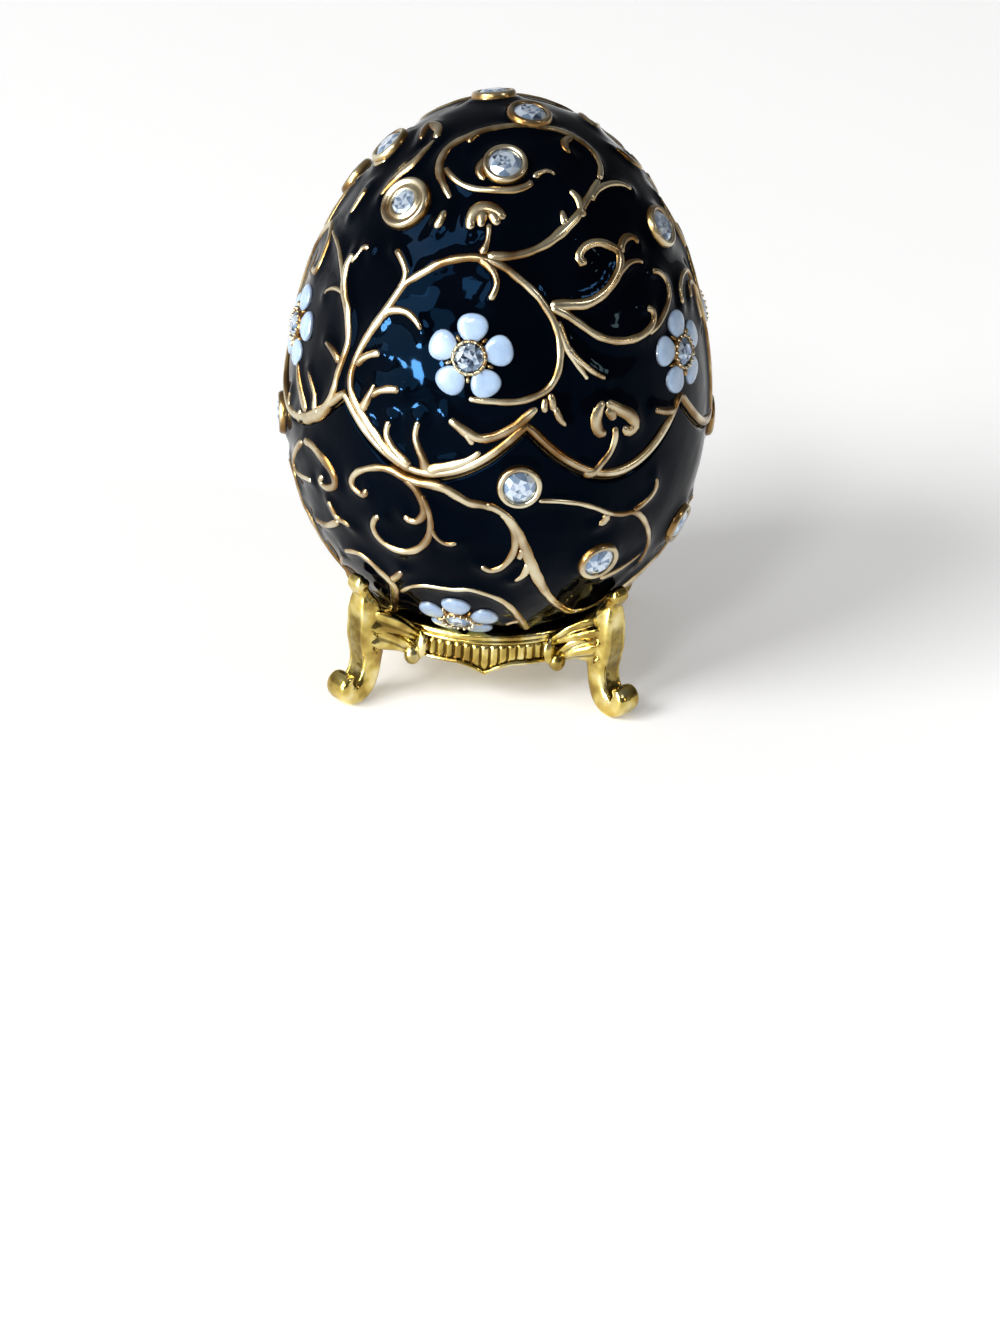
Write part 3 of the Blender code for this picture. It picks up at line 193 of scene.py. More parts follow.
BASE_TRACED = (
    ("scroll", (0.9, 1.0, 0.9, 1.1, 1.2, 1.3, 1.2, 1.1), (368, 487), (365, 494), (357, 489), (353, 480),
     (358, 472), (369, 468), (381, 467), (393, 469), (405, 474), (418, 479), (432, 483), (445, 488),
     (457, 495), (470, 502), (483, 504), (495, 508)),
    ("trunk", (1.0, 1.1, 1.5, 1.5, 1.0, 1.0, 1.1), (483, 503), (496, 508), (507, 516), (516, 528),
     (523, 543), (529, 558), (536, 574), (545, 590), (556, 602), (569, 609), (583, 607)),
    ("trunk hook", (1.0, 1.0, 1.1, 0.9, 0.9), (500, 511), (508, 519), (514, 531), (515, 545),
     (510, 557), (501, 566), (490, 569), (480, 564)),
    ("trunk twig", (1.4, 1.0, 0.5), (530, 560), (525, 571), (519, 577), (512, 580)),
    ("trunk leaf", (1.1, 0.8), (524, 546), (518, 559)),
    ("low right", (1.0, 0.8, 0.6), (570, 609), (585, 606), (600, 598), (611, 586)),
    ("far scroll", (0.7, 0.7, 0.8, 0.9, 0.8, 0.7), (536, 500), (550, 500), (565, 501), (580, 503),
     (595, 507), (608, 512), (621, 513), (633, 511), (641, 517), (646, 527), (647, 539), (643, 551),
     (636, 562)),
    ("scroll drop", (1.2, 1.1, 0.8), (604, 511), (605, 518), (596, 525)),
    ("rising twig", (1.0, 0.9, 0.6), (630, 510), (641, 503), (650, 494), (655, 484), (654, 475)),
    ("middle branch", (1.3, 1.1, 1.1, 0.9), (404, 475), (413, 484), (420, 494), (424, 505), (424, 514),
     (418, 520), (410, 519), (404, 513)),
    ("middle cup", (0.9, 0.9, 1.0, 1.1, 1.0, 0.9, 0.8), (421, 492), (426, 503), (430, 515), (431, 527),
     (428, 538), (421, 546), (411, 550), (399, 549), (387, 543), (378, 534), (374, 525), (376, 518),
     (381, 514)),
    ("middle tail", (0.8, 0.7, 0.7), (429, 520), (433, 531), (441, 540), (450, 543), (459, 541)),
    ("arch", (0.7, 0.7, 0.8, 1.0, 1.1), (401, 590), (412, 585), (425, 584), (440, 586), (455, 588),
     (470, 588), (485, 592), (500, 598), (512, 607), (520, 617), (527, 626)),
    ("arch foot", (0.9, 0.6), (521, 618), (512, 620), (504, 623)),
    ("left arch", (0.8, 0.9, 1.3, 1.3, 1.0, 1.0), (346, 549), (358, 551), (368, 557), (379, 567),
     (389, 577), (395, 585), (396, 597), (399, 608), (404, 616)),
    ("arch tick", (1.2, 0.8), (392, 579), (398, 575), (403, 569)),
    ("loop", (1.0, 0.9, 0.8, 0.8), (305, 440), (298, 450), (296, 462), (300, 472), (307, 477),
     (314, 480)),
    ("loop leaf", (1.2, 1.1, 1.6, 1.2, 0.9, 0.8), (306, 440), (314, 445), (322, 455), (330, 465),
     (336, 476), (336, 485), (328, 487), (322, 481), (325, 474)),
    ("left twig", (0.8, 1.0, 0.9, 0.8), (329, 498), (334, 508), (339, 517), (346, 521), (353, 526)),
    ("left twig root", (0.9, 1.0), (318, 518), (329, 524), (341, 520)),
    ("foot line", (0.6, 0.6, 0.7), (344, 554), (346, 565), (353, 577), (365, 591), (380, 603),
     (398, 613), (415, 623), (433, 630)),
)

LID_FLANKS = (
    ("left frond", (1.6, 1.3, 0.6), (-60, 2), (-66, 8), (-70, 12)),
    ("left curl", (0.9, 0.7, 0.6), (-66, 2), (-71, 0), (-74, 2), (-73, 5)),
    ("left reach", (1.0, 0.8, 0.6), (-54, 30), (-59, 33), (-67, 36), (-78, 37)),
    ("left mark", (1.3, 0.9, 0.6), (-72, 49), (-71, 45), (-71, 42)),
    ("side stem", (1.4, 1.1, 1.0, 1.0, 0.9), (83, 2), (84, 12), (84, 22), (88, 31), (96, 37), (104, 35),
     (105, 29), (100, 28)),
    ("side fork", (1.2, 0.9, 0.7), (84, 20), (82, 27), (77, 30), (74, 27)),
    ("side leaf", (1.3, 1.0, 0.5), (90, 34), (88, 41), (90, 47)),
    ("high side", (0.8, 1.4, 0.9, 0.6), (84, 62), (90, 56), (97, 53), (104, 56)),
)
BASE_FLANKS = (
    ("far leaf", (1.2, 0.9, 0.5), (35, -29), (43, -27), (50, -24)),
    ("left foot stem", (1.1, 1.1, 1.0), (-56, -45), (-66, -38), (-74, -30), (-72, -24)),
    ("far stem", (1.1, 1.0, 0.9), (46, -44), (56, -36), (66, -32), (76, -28), (84, -20)),
    ("far stem twig", (1.0, 0.8, 0.5), (62, -33), (60, -40), (66, -44)),
    ("side scroll", (1.0, 1.2, 1.0, 0.9), (80, -18), (87, -23), (96, -25), (105, -22), (107, -15),
     (101, -13)),
    ("side scroll twig", (1.2, 1.0, 0.7), (88, -23), (85, -31), (89, -38), (97, -40)),
    ("side scroll leaf", (1.2, 0.9, 0.5), (104, -22), (111, -27), (110, -35)),
)

# The leg's middle line as (radius, height, half depth, half width) in millimetres, from the bud on top
# down to the scroll of the foot
LEG_STATIONS = (
    (20.35, 15.7, 0.2, 0.45), (20.55, 15.4, 0.7, 0.95), (20.6, 14.75, 0.95, 1.15), (20.45, 14.1, 0.75, 1.0),
    (20.15, 13.5, 0.7, 1.05), (19.9, 12.6, 1.1, 1.35), (19.6, 11.3, 1.6, 1.6), (19.3, 9.8, 1.9, 1.68),
    (19.2, 8.2, 2.0, 1.7), (19.15, 6.6, 1.75, 1.68), (19.2, 5.0, 1.45, 1.62), (19.5, 3.4, 1.45, 1.6),
    (20.2, 2.1, 1.5, 1.65), (21.3, 1.45, 1.4, 1.7), (22.35, 1.6, 1.25, 1.7), (22.85, 2.45, 1.1, 1.65),
    (22.45, 3.2, 0.85, 1.5), (21.8, 3.05, 0.45, 1.1))
# Webs that tie a leg to the ring, as (radius, height, half height, half width)
BRACKET_STATIONS = (
    (14.2, 7.0, 0.7, 1.4), (15.5, 7.3, 1.1, 1.45), (17.0, 8.0, 2.0, 1.5), (18.6, 8.6, 2.6, 1.5))
# Leaves from a leg to the ring: share of the way in, share of the turn, rise and half girth, in millimetres
LEAF_STATIONS = (
    (0.0, 0.0, -0.6, 1.1), (0.2, 0.22, 0.6, 1.75), (0.6, 0.62, 0.0, 1.45), (1.0, 1.0, -1.6, 0.7))
# A leaf's height over the ring's top and its turn from the leg in degrees
LEAVES = ((0.7, 13.5), (-1.3, 11.5))
# The scroll that the leaves end on: degrees from the leg, distance out from the ring, height over its top
# and half girth
SCROLL_STATIONS = (
    (15.0, 0.3, -0.1, 0.35), (17.0, 0.75, -1.1, 0.62), (16.5, 0.75, -2.4, 0.6), (14.5, 0.35, -3.5, 0.3))
# The knob below the leaves: (radius, height) in millimetres, and its degrees from the leg
KNOB_PROFILE = ((0.0, -1.0), (0.55, -0.85), (0.95, -0.3), (0.95, 0.3), (0.55, 0.85), (0.0, 1.0))
KNOB_TURN = 12.6

# Sections of the settings' rings, as distance out from the stone's girdle and height in millimetres
LIPS = {
    "plain": ((0.52, -0.4), (0.5, 0.3), (0.42, 0.66), (0.26, 0.86), (0.06, 0.88), (-0.12, 0.8), (-0.22, 0.7),
              (-0.2, 0.6), (0.03, 0.42), (0.03, -0.4)),
    "wide": ((1.08, -0.4), (1.06, 0.3), (0.96, 0.72), (0.76, 0.98), (0.5, 0.98), (0.3, 0.8), (0.1, 0.72),
             (-0.1, 0.82), (-0.34, 0.97), (-0.52, 0.96), (-0.62, 0.86), (-0.56, 0.76), (0.03, 0.42),
             (0.03, -0.4)),
    "flower": ((0.4, -0.4), (0.38, 0.35), (0.28, 0.58), (0.12, 0.66), (0.0, 0.62), (0.0, 0.52), (0.03, 0.42),
               (0.03, -0.4)),
}
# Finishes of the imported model's nodes that are shown as they are
FITTINGS = {
    "satin_gold_lining": ("lid_hinge_leaf", "base_hinge_leaf"),
    "turned_steel": ("hinge_pin", "lid_magnet", "base_magnet", "stand_screw"),
}
# Petals round a flower's stone, and grains on its ring
PETALS = 5
GRAINS = 15


# Properties

def length(label, words, value):
    """A length property in metres with its default in millimetres."""
    return bpy.props.FloatProperty(name=label, description=words, default=value * MM, unit="LENGTH",
                                   subtype="DISTANCE", precision=5)


def degrees(label, words, value):
    """An angle kept in plain degrees."""
    return bpy.props.FloatProperty(name=label, description=words, default=value)


def colour(label, words, value):
    """A linear colour property."""
    return bpy.props.FloatVectorProperty(name=label, description=words, default=value, size=3, min=0.0,
                                         max=1.0, subtype="COLOR")


class EggSizes(bpy.types.PropertyGroup):
    """Sizes of the egg and of what is raised on it."""

    radius: length("Radius", "Radius at the equator", 24.0)
    upper: length("Upper height", "Height of the top above the equator", 35.5)
    lower: length("Lower height", "Depth of the bottom below the equator", 26.5)
    equator: length("Equator height", "Height of the equator above the floor", 31.004)
    wall: length("Wall", "Thickness of the cast wall", 1.6)
    seam_gap: length("Seam gap", "Gap between lid and base", 0.4)
    seam_low: degrees("Seam low", "Latitude of the waves' lowest points", 1.0)
    seam_high: degrees("Seam high", "Latitude of the cusps", 11.0)
    seam_turn: degrees("Seam turn", "Azimuth of the front cusp", 8.0)
    seam_round: degrees("Seam roundness", "Power that shapes the waves", 1.9)
    wave_reach: degrees("Wave reach", "Height up to which the pattern follows the seam", 20.0)
    vine_height: length("Relief height", "Rise of the scrollwork above the enamel", 0.55)
    meniscus: length("Meniscus", "Rise of the enamel where it meets metal", 0.3)
    meniscus_reach: length("Meniscus reach", "Distance in which that rise falls to about a third", 0.6)
    enamel: length("Enamel", "Thickness of the enamel", 0.3)
    bead_width: length("Lid bead width", "Width of the bead on the lid's edge", 1.05)
    bead_height: length("Lid bead height", "Rise of the bead on the lid's edge", 0.5)
    setting: length("Setting", "Width of a setting's ring beyond its stone", 0.7)
    groove: length("Hinge groove", "Radius of the groove that the walls leave for the knuckles", 1.55)
    boss: length("Magnet boss", "Radius of the bosses that hold the magnets", 2.65)
    boss_height: length("Magnet boss height", "Height of the bosses that hold the magnets", 4.5)


class StandSizes(bpy.types.PropertyGroup):
    """Sizes of the stand."""

    ring_radius: length("Ring radius", "Outer radius of the fluted ring", 14.7)
    ring_wall: length("Ring wall", "Thickness of the ring", 1.5)
    ring_top: length("Ring top", "Height of the ring's upper edge", 8.33)
    ring_bottom: length("Ring bottom", "Height of the ring's lower edge between drops", 5.13)
    drop: length("Drop", "Depth of the pointed drops", 1.2)
    flutes: bpy.props.IntProperty(name="Flutes", description="Flutes round the ring", default=88)
    flute_depth: length("Flute depth", "Depth of a flute", 0.4)
    leg_azimuth: degrees("Leg azimuth", "Azimuth of the first leg", 45.0)
    clearance: length("Clearance", "Gap between the egg and the saucer", 0.4)
    saucer: length("Saucer", "Thickness of the dish under the egg", 1.0)
    screw_hole: length("Screw hole", "Radius of the hole in the dish", 1.4)


class Finishes(bpy.types.PropertyGroup):
    """Base colours of the finishes."""

    enamel: colour("Enamel", "Black enamel", (0.0005, 0.0009, 0.0020))
    pale_gold: colour("Pale gold", "Raised scrollwork", (0.44, 0.29, 0.11))
    bright_gold: colour("Bright gold", "Polished stand", (0.62, 0.48, 0.13))
    petal: colour("Petal", "Pale blue-white enamel", (0.44, 0.60, 0.82))
    stone: colour("Stone", "Foiled crystal", (0.70, 0.80, 0.92))
    steel: colour("Steel", "Magnets and screw", (0.52, 0.52, 0.54))


# Surfaces as arrays

def unit(vectors):
    """Each row of an array of vectors over its own length."""
    return vectors / np.maximum(np.linalg.norm(vectors, axis=-1, keepdims=True), 1e-12)


def ease(value):
    """Smooth step from 0 to 1: 3t^2 - 2t^3 of the value held between 0 and 1."""
    t = np.clip(value, 0.0, 1.0)
    return t * t * (3 - 2 * t)


def through(points, count):
    """Even steps along the Catmull-Rom curve through rows of numbers, measured on the first three."""
    knots = np.asarray(points, float)
    knots = np.vstack([2 * knots[0] - knots[1], knots, 2 * knots[-1] - knots[-2]])
    t = np.linspace(0, 1, 16, endpoint=False)[:, None]
    a, b, c, d = (knots[i:len(knots) - 3 + i, None, :] for i in range(4))
    fine = b + 0.5 * t * ((c - a) + t * ((2 * a - 5 * b + 4 * c - d) + t * (3 * (b - c) + d - a)))
    fine = np.vstack([fine.reshape(-1, knots.shape[1]), knots[-2]])
    steps = np.linalg.norm(np.diff(fine[:, :3], axis=0), axis=1)
    along = np.concatenate([[0.0], np.cumsum(steps)])
    wanted = np.linspace(0, along[-1], count)
    return np.stack([np.interp(wanted, along, column) for column in fine.T], axis=1)


def polar(azimuth, radius, height):
    """Points about the upright axis: radius sin a to the right, radius cos a to the front, and a height."""
    a = np.radians(azimuth)
    return np.stack(np.broadcast_arrays(radius * np.sin(a), -radius * np.cos(a), height), -1)


def rounded(value, power):
    """A sine or cosine bent towards a square: its sign times its size to the power 2 / p."""
    return np.sign(value) * np.abs(value) ** (2 / power)


class Egg:
    """The egg's outer surface: half ellipses of unlike height, turned round its axis."""

    def __init__(self, sizes):
        self.sizes = sizes

    def place(self, azimuth, latitude, lift=0.0):
        """Points: radius cos t outwards, half height sin t upwards, plus the lift along the normal."""
        azimuth, latitude, lift = np.broadcast_arrays(azimuth, latitude, lift)
        t = np.radians(latitude)
        half = np.where(latitude > 0, self.sizes.upper, self.sizes.lower)
        point = polar(azimuth, self.sizes.radius * np.cos(t), self.sizes.equator + half * np.sin(t))
        normal = unit(polar(azimuth, np.cos(t) / self.sizes.radius, np.sin(t) / half))
        return point + normal * lift[..., None]

    def foot(self, points):
        """Nearest points of the surface and their normals.

        A guess is brought to the surface along the centre's line and moved by the sideways part of what is
        left to the point, four times.
        """
        centre = UP * self.sizes.equator
        guess = np.asarray(points, float)
        for _ in range(4):
            local = guess - centre
            half = np.where(local[..., 2] > 0, self.sizes.upper, self.sizes.lower)
            squares = np.stack([np.full_like(half, self.sizes.radius ** -2.0)] * 2 + [half ** -2.0], -1)
            local = local / np.sqrt((local ** 2 * squares).sum(-1, keepdims=True))
            normal = unit(local * squares)
            on = local + centre
            away = points - on
            guess = on + away - normal * (away * normal).sum(-1, keepdims=True)
        return on, normal

    def turn(self, azimuth):
        """Turn of the waves: its full size times (1 + cos a) / 2, so none at the hinge."""
        return self.sizes.seam_turn * (1 + np.cos(np.radians(azimuth))) / 2

    def stations(self):
        """Azimuths at even shares of the waves, so that each cusp has a station.

        Each is an even step plus the turn there, worked out again until it holds still.
        """
        count = WAVES * WAVE_STATIONS
        even = np.arange(count) * 360.0 / count
        azimuth = even
        for _ in range(20):
            azimuth = even + self.turn(azimuth)
        return azimuth

    def from_back(self, azimuth):
        """Degrees between an azimuth and the hinge."""
        return 180.0 - np.abs((np.asarray(azimuth) + 180.0) % 360.0 - 180.0)

    def seam(self, azimuth):
        """Latitude of the seam: arcs |2u - 1|^p that hang between the cusps, level near the hinge."""
        share = ((azimuth - self.turn(azimuth)) * WAVES / 360.0) % 1.0
        calm = ease((self.from_back(azimuth) - WAVES_START) / (WAVES_FULL - WAVES_START))
        rise = np.abs(2 * share - 1) ** self.sizes.seam_round
        return self.sizes.seam_low + (self.sizes.seam_high - self.sizes.seam_low) * calm * rise

    def latitude(self, azimuth, height):
        """Latitude of a height h, counted from the seam s within the waves' reach r: s + h (r -+ s) / r."""
        reach, seam = self.sizes.wave_reach, self.seam(azimuth)
        near = seam + height * (reach - np.sign(height) * seam) / reach
        return np.where(np.abs(height) >= reach, height, near)

    def height(self, azimuth, latitude):
        """Height of a latitude, counted from the seam s within the waves' reach r: (l - s) r / (r -+ s)."""
        reach, seam = self.sizes.wave_reach, self.seam(azimuth)
        near = (latitude - seam) * reach / (reach - np.sign(latitude - seam) * seam)
        return np.where(np.abs(latitude) >= reach, latitude, near)


# Meshes

class Patch:
    """Vertices and faces gathered from grids, with an optional number at each vertex."""

    def __init__(self):
        self.points, self.faces, self.marks, self.count = [], [], [], 0

    def grid(self, points, mark=None, wrap_u=False, wrap_v=False):
        """Adds a grid of points[u, v]: each cell is one four-sided face."""
        nu, nv = points.shape[:2]
        number = np.arange(nu * nv).reshape(nu, nv) + self.count
        if wrap_u:
            number = np.vstack([number, number[:1]])
        if wrap_v:
            number = np.hstack([number, number[:, :1]])
        cells = np.stack([number[:-1, :-1], number[1:, :-1], number[1:, 1:], number[:-1, 1:]], -1)
        self.faces.append(cells.reshape(-1, 4))
        self.points.append(points.reshape(-1, 3))
        self.marks.append(np.ones(nu * nv) if mark is None else np.broadcast_to(mark, (nu, nv)).reshape(-1))
        self.count += nu * nv
        return self

    def piece(self, name, finish):
        """Makes the object in a finish: doubles merged, faces turned outwards."""
        points, faces, marks = (np.concatenate(rows) for rows in (self.points, self.faces, self.marks))
        mesh = bpy.data.meshes.new(name)
        mesh.vertices.add(len(points))
        mesh.vertices.foreach_set("co", points.astype(np.float32).ravel())
        mesh.loops.add(faces.size)
        mesh.loops.foreach_set("vertex_index", faces.astype(np.int32).ravel())
        mesh.polygons.add(len(faces))
        mesh.polygons.foreach_set("loop_start", np.arange(0, faces.size, 4, dtype=np.int32))
        mesh.update(calc_edges=True)
        layer = mesh.attributes.new("rise", "FLOAT", "POINT")
        layer.data.foreach_set("value", marks.astype(np.float32))
        return finished(name, mesh, finish)


def finished(name, mesh, finish, smooth=True):
    """Merges doubles, drops what collapsed, turns the faces outwards and links the object."""
    work = bmesh.new()
    work.from_mesh(mesh)
    bmesh.ops.remove_doubles(work, verts=work.verts, dist=1e-7)
    bmesh.ops.dissolve_degenerate(work, edges=work.edges, dist=1e-8)
    bmesh.ops.recalc_face_normals(work, faces=work.faces)
    work.to_mesh(mesh)
    work.free()
    if smooth:
        mesh.shade_smooth()
    mesh.materials.append(material(finish))
    thing = bpy.data.objects.new(name, mesh)
    bpy.context.scene.collection.objects.link(thing)
    return thing


def hand_over(piece, body, node=None):
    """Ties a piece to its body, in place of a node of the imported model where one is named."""
    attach(piece, body)
    if node:
        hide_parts(node)


def carried(patch, centre, side, out, across, rise, mark=None):
    """Carries a section along a line, across times side plus rise times out, shut at both ends."""
    rings = centre[:, None] + side[..., None, :] * across[..., None] + out[..., None, :] * rise[..., None]
    first, last = (end[None, None].repeat(across.shape[1], 1) for end in (centre[0], centre[-1]))
    return patch.grid(np.concatenate([first, rings, last]), mark, wrap_v=True)


def tube(patch, centre, side, out, half_width, half_depth, power, sides, mark, ridge=0.0):
    """Carries a superellipse |x|^p + |y|^p = 1, ridged by cos 5t, along a line."""
    angle = np.linspace(0, 2 * np.pi, sides, endpoint=False)
    swell = 1 + ridge * np.cos(5 * angle)
    # The valleys between ridges get a low mark: painted shade in the bright gold.
    if ridge:
        mark = 0.35 + 0.65 * ease((swell - 1 + ridge) / (0.8 * ridge))
    across = np.outer(half_width, rounded(np.cos(angle), power) * swell)
    rise = np.outer(half_depth, rounded(np.sin(angle), power) * swell)
    return carried(patch, centre, side, out, across, rise, mark)


def turned(patch, profile, place, sides=40, mark=None):
    """Turns a profile of (radius, height) about a place's normal; a place is point, east, north and normal.

    Point plus radius times (east cos a + north sin a) plus height times normal.
    """
    point, east, north, normal = place
    angle = np.linspace(0, 2 * np.pi, sides, endpoint=False)
    spoke = np.cos(angle)[:, None] * east + np.sin(angle)[:, None] * north
    profile = np.asarray(profile, float)
    rings = point + spoke[:, None] * profile[None, :, 0, None] + normal * profile[None, :, 1, None]
    return patch.grid(rings, mark, wrap_u=True)


# Shaders

class Wire:
    """An output socket that takes part in arithmetic; an expression adds the nodes that work it out."""

    def __init__(self, maker, socket):
        self.maker, self.socket = maker, socket

    def math(self, operation, *others):
        """This wire and others through one maths node."""
        return self.maker.node("ShaderNodeMath", {"operation": operation}, dict(enumerate((self, *others))))

    def __add__(self, other):
        return self.math("ADD", other)

    def __sub__(self, other):
        return self.math("SUBTRACT", other)

    def __mul__(self, other):
        return self.math("MULTIPLY", other)

    def __rsub__(self, other):
        return self.maker.node("ShaderNodeMath", {"operation": "SUBTRACT"}, {0: other, 1: self})

    __radd__ = __add__
    __rmul__ = __mul__

    def beside(self, label):
        """Another output of the same node."""
        return Wire(self.maker, self.socket.node.outputs[label])

    def step(self, low, high):
        """0 below low, 1 above high and smooth between them."""
        return self.maker.node("ShaderNodeMapRange", {"interpolation_type": "SMOOTHSTEP"},
                               {"Value": self, "From Min": low, "From Max": high})


class Maker:
    """Adds nodes to the node tree of a material or of the world."""

    def __init__(self, owner):
        owner.use_nodes = True
        self.tree = owner.node_tree

    def node(self, kind, settings=None, sockets=None, output=0):
        """Adds a node, its settings first, then the values or links of its sockets."""
        made = self.tree.nodes.new(kind)
        for label, value in (settings or {}).items():
            setattr(made, label, value)
        for label, value in (sockets or {}).items():
            self.plug(made.inputs[label], value)
        return Wire(self, made.outputs[output])

    def plug(self, socket, value):
        """Links a wire to a socket, or sets the socket's value."""
        if isinstance(value, Wire):
            self.tree.links.new(value.socket, socket)
        elif hasattr(socket.default_value, "__len__") and len(value) < len(socket.default_value):
            socket.default_value = (*value, 1.0)
        else:
            socket.default_value = value


class Finish(Maker):
    """A Principled material under construction."""

    def __init__(self, name, **constants):
        self.material = bpy.data.materials.new(name)
        super().__init__(self.material)
        self.shader = self.tree.nodes["Principled BSDF"]
        for label, value in constants.items():
            self.feed(label.replace("_", " ").title().replace("Ior", "IOR"), value)
        self.where = self.node("ShaderNodeTexCoord", output="Object")

    def feed(self, label, value):
        """Feeds an input of the Principled shader."""
        self.plug(self.shader.inputs[label], value)
        return self

    def noise(self, size, detail=2.0):
        """Noise between 0 and 1 whose lumps are about a size in metres."""
        sockets = {"Vector": self.where, "Scale": 1.0 / size, "Detail": detail}
        return self.node("ShaderNodeTexNoise", None, sockets)

    def mark(self, name="rise"):
        """The number that a mesh holds at each vertex."""
        return self.node("ShaderNodeAttribute", {"attribute_name": name}, output="Fac")

    def mix(self, share, low, high):
        """Colour that goes from low to high with a share."""
        return self.node("ShaderNodeMix", {"data_type": "RGBA"}, {"Factor": share, 6: low, 7: high}, output=2)

    def bump(self, height, distance):
        """Feeds a bump whose full height is a distance in metres."""
        made = self.node("ShaderNodeBump", None, {"Height": height, "Distance": distance})
        return self.feed("Normal", made)


def black_enamel(colours):
    """Glossy black enamel: highlights tinted deep blue as a painted reflection of blue light, with the slow
    waves of a fired and poured coat.
    """
    # The blue specular tint is a painted reflection of blue light.
    finish = Finish("black_enamel", specular_ior_level=0.045, specular_tint=(0.10, 0.42, 1.0))
    cloud = finish.noise(9 * MM)
    finish.feed("Base Color", finish.mix(cloud.step(0.35, 0.75), colours.enamel, scaled(colours.enamel, 2.0)))
    finish.feed("Roughness", 0.02 + 0.04 * cloud)
    ripple = finish.noise(1.7 * MM, 1.0) * cloud.step(0.45, 0.65)
    finish.bump(finish.noise(5 * MM, 1.0) + 0.25 * ripple, 0.16 * MM)
    return finish.material


def pale_gold(colours):
    """Pale gold plate on cast relief: pale crests as a painted highlight, brown flanks, and a dark foot of
    painted shade with some enamel left on the metal.
    """
    finish = Finish("pale_gold_relief")
    rise = finish.mark()
    grain = finish.noise(0.9 * MM)
    blush = finish.noise(5 * MM)
    bronze = scaled(colours.pale_gold, (0.45, 0.36, 0.28))
    crest = mixed(colours.pale_gold, (0.84, 0.83, 0.66), 0.62)
    gold = finish.mix(blush.step(0.38, 0.62), bronze, colours.pale_gold)
    # Where the mark is high the pale crest colour goes in: a painted highlight along the crests.
    gold = finish.mix((0.6 * rise + 0.8 * blush + 0.1 * grain).step(0.8, 1.2), gold, crest)
    # Dark along the foot and lower flanks: painted shade where the bar meets the enamel, with some enamel
    # left on the metal.
    clear_of_enamel_and_painted_shade = (rise + 0.2 * grain).step(0.2, 0.62)
    finish.feed("Base Color", finish.mix(clear_of_enamel_and_painted_shade, (0.05, 0.026, 0.011), gold))
    finish.feed("Metallic", 0.6 + 0.4 * clear_of_enamel_and_painted_shade)
    finish.feed("Roughness", 0.2 + 0.1 * grain)
    finish.bump(grain, 0.015 * MM)
    return finish.material


def bright_gold(colours):
    """Polished yellow gold plate: pale and brown patches laid out by noise as painted reflections, and
    painted shade dark in every recess.
    """
    finish = Finish("yellow_gold", metallic=1.0)
    wave = finish.noise(2.6 * MM)
    speck = finish.noise(0.5 * MM)
    # Brown and pale are painted reflections, dark and bright, laid out by noise.
    warm = scaled(colours.bright_gold, (0.50, 0.42, 0.36))
    pale = mixed(colours.bright_gold, (0.92, 0.86, 0.56), 0.6)
    # Painted shade for the recesses.
    painted_recess_shade = scaled(colours.bright_gold, (0.16, 0.13, 0.12))
    gold = finish.mix(wave.step(0.30, 0.58), warm, colours.bright_gold)
    gold = finish.mix(wave.step(0.48, 0.76), gold, pale)
    # Low marks, in grooves, valleys, inner faces and the sunk panel, get the painted shade.
    unshaded_share = (finish.mark() + speck * 0.3 - 0.15).step(0.15, 0.85)
    finish.feed("Base Color", finish.mix(unshaded_share, painted_recess_shade, gold))
    finish.feed("Roughness", 0.10 + 0.16 * wave)
    finish.bump(finish.noise(1.8 * MM), 0.16 * MM)
    return finish.material


def lining_gold(colours):
    """Satin gold plate of the egg's inside."""
    finish = Finish("satin_gold_lining", metallic=1.0)
    brush = finish.noise(0.25 * MM, 4.0)
    bright = mixed(colours.pale_gold, (0.92, 0.74, 0.42), 0.6)
    finish.feed("Base Color", finish.mix(finish.noise(7 * MM).step(0.3, 0.7), scaled(bright, 0.75), bright))
    finish.feed("Roughness", 0.38 + 0.15 * brush)
    finish.bump(brush, 0.03 * MM)
    return finish.material


def petal_enamel(colours):
    """Opaque pale blue-white enamel, darker towards its rim where it meets the metal."""
    finish = Finish("petal_enamel", coat_weight=0.4)
    cloud = finish.noise(1.4 * MM)
    body = finish.mix(cloud.step(0.35, 0.7), colours.petal, scaled(colours.petal, (0.82, 0.84, 0.90)))
    finish.feed("Base Color", finish.mix(finish.mark().step(0.1, 0.5), (0.16, 0.20, 0.27), body))
    finish.feed("Roughness", 0.2 + 0.12 * cloud)
    finish.bump(cloud, 0.04 * MM)
    return finish.material


def crystal(colours):
    """Foiled crystal: bright, grey and dark facets as painted reflections and glints, each with a little
    cloud in it.
    """
    finish = Finish("cut_crystal", metallic=0.6, coat_weight=0.3)
    swirl = finish.noise(0.7 * MM)
    shade = finish.mark("glint") + 0.3 * swirl - 0.15
    grey = finish.mix(shade.step(0.12, 0.4), (0.02, 0.03, 0.06), (0.24, 0.34, 0.50))
    finish.feed("Base Color", finish.mix(shade.step(0.5, 0.85), grey, colours.stone))
    finish.feed("Roughness", 0.08 + 0.12 * swirl)
    return finish.material


def steel(colours):
    """Plain nickelled steel with fine turning marks."""
    finish = Finish("turned_steel", metallic=1.0)
    grain = finish.noise(0.2 * MM, 4.0)
    finish.feed("Base Color", finish.mix(grain.step(0.3, 0.7), scaled(colours.steel, 0.8), colours.steel))
    finish.feed("Roughness", 0.25 + 0.2 * grain)
    finish.bump(grain, 0.02 * MM)
    return finish.material


def mixed(low, high, share):
    """Colour at a share of the way from low to high."""
    return tuple(np.multiply(low, 1 - share) + np.multiply(high, share))


def scaled(colour, factors):
    """Colour times one factor, or each channel times its own."""
    return tuple(np.multiply(colour, factors))


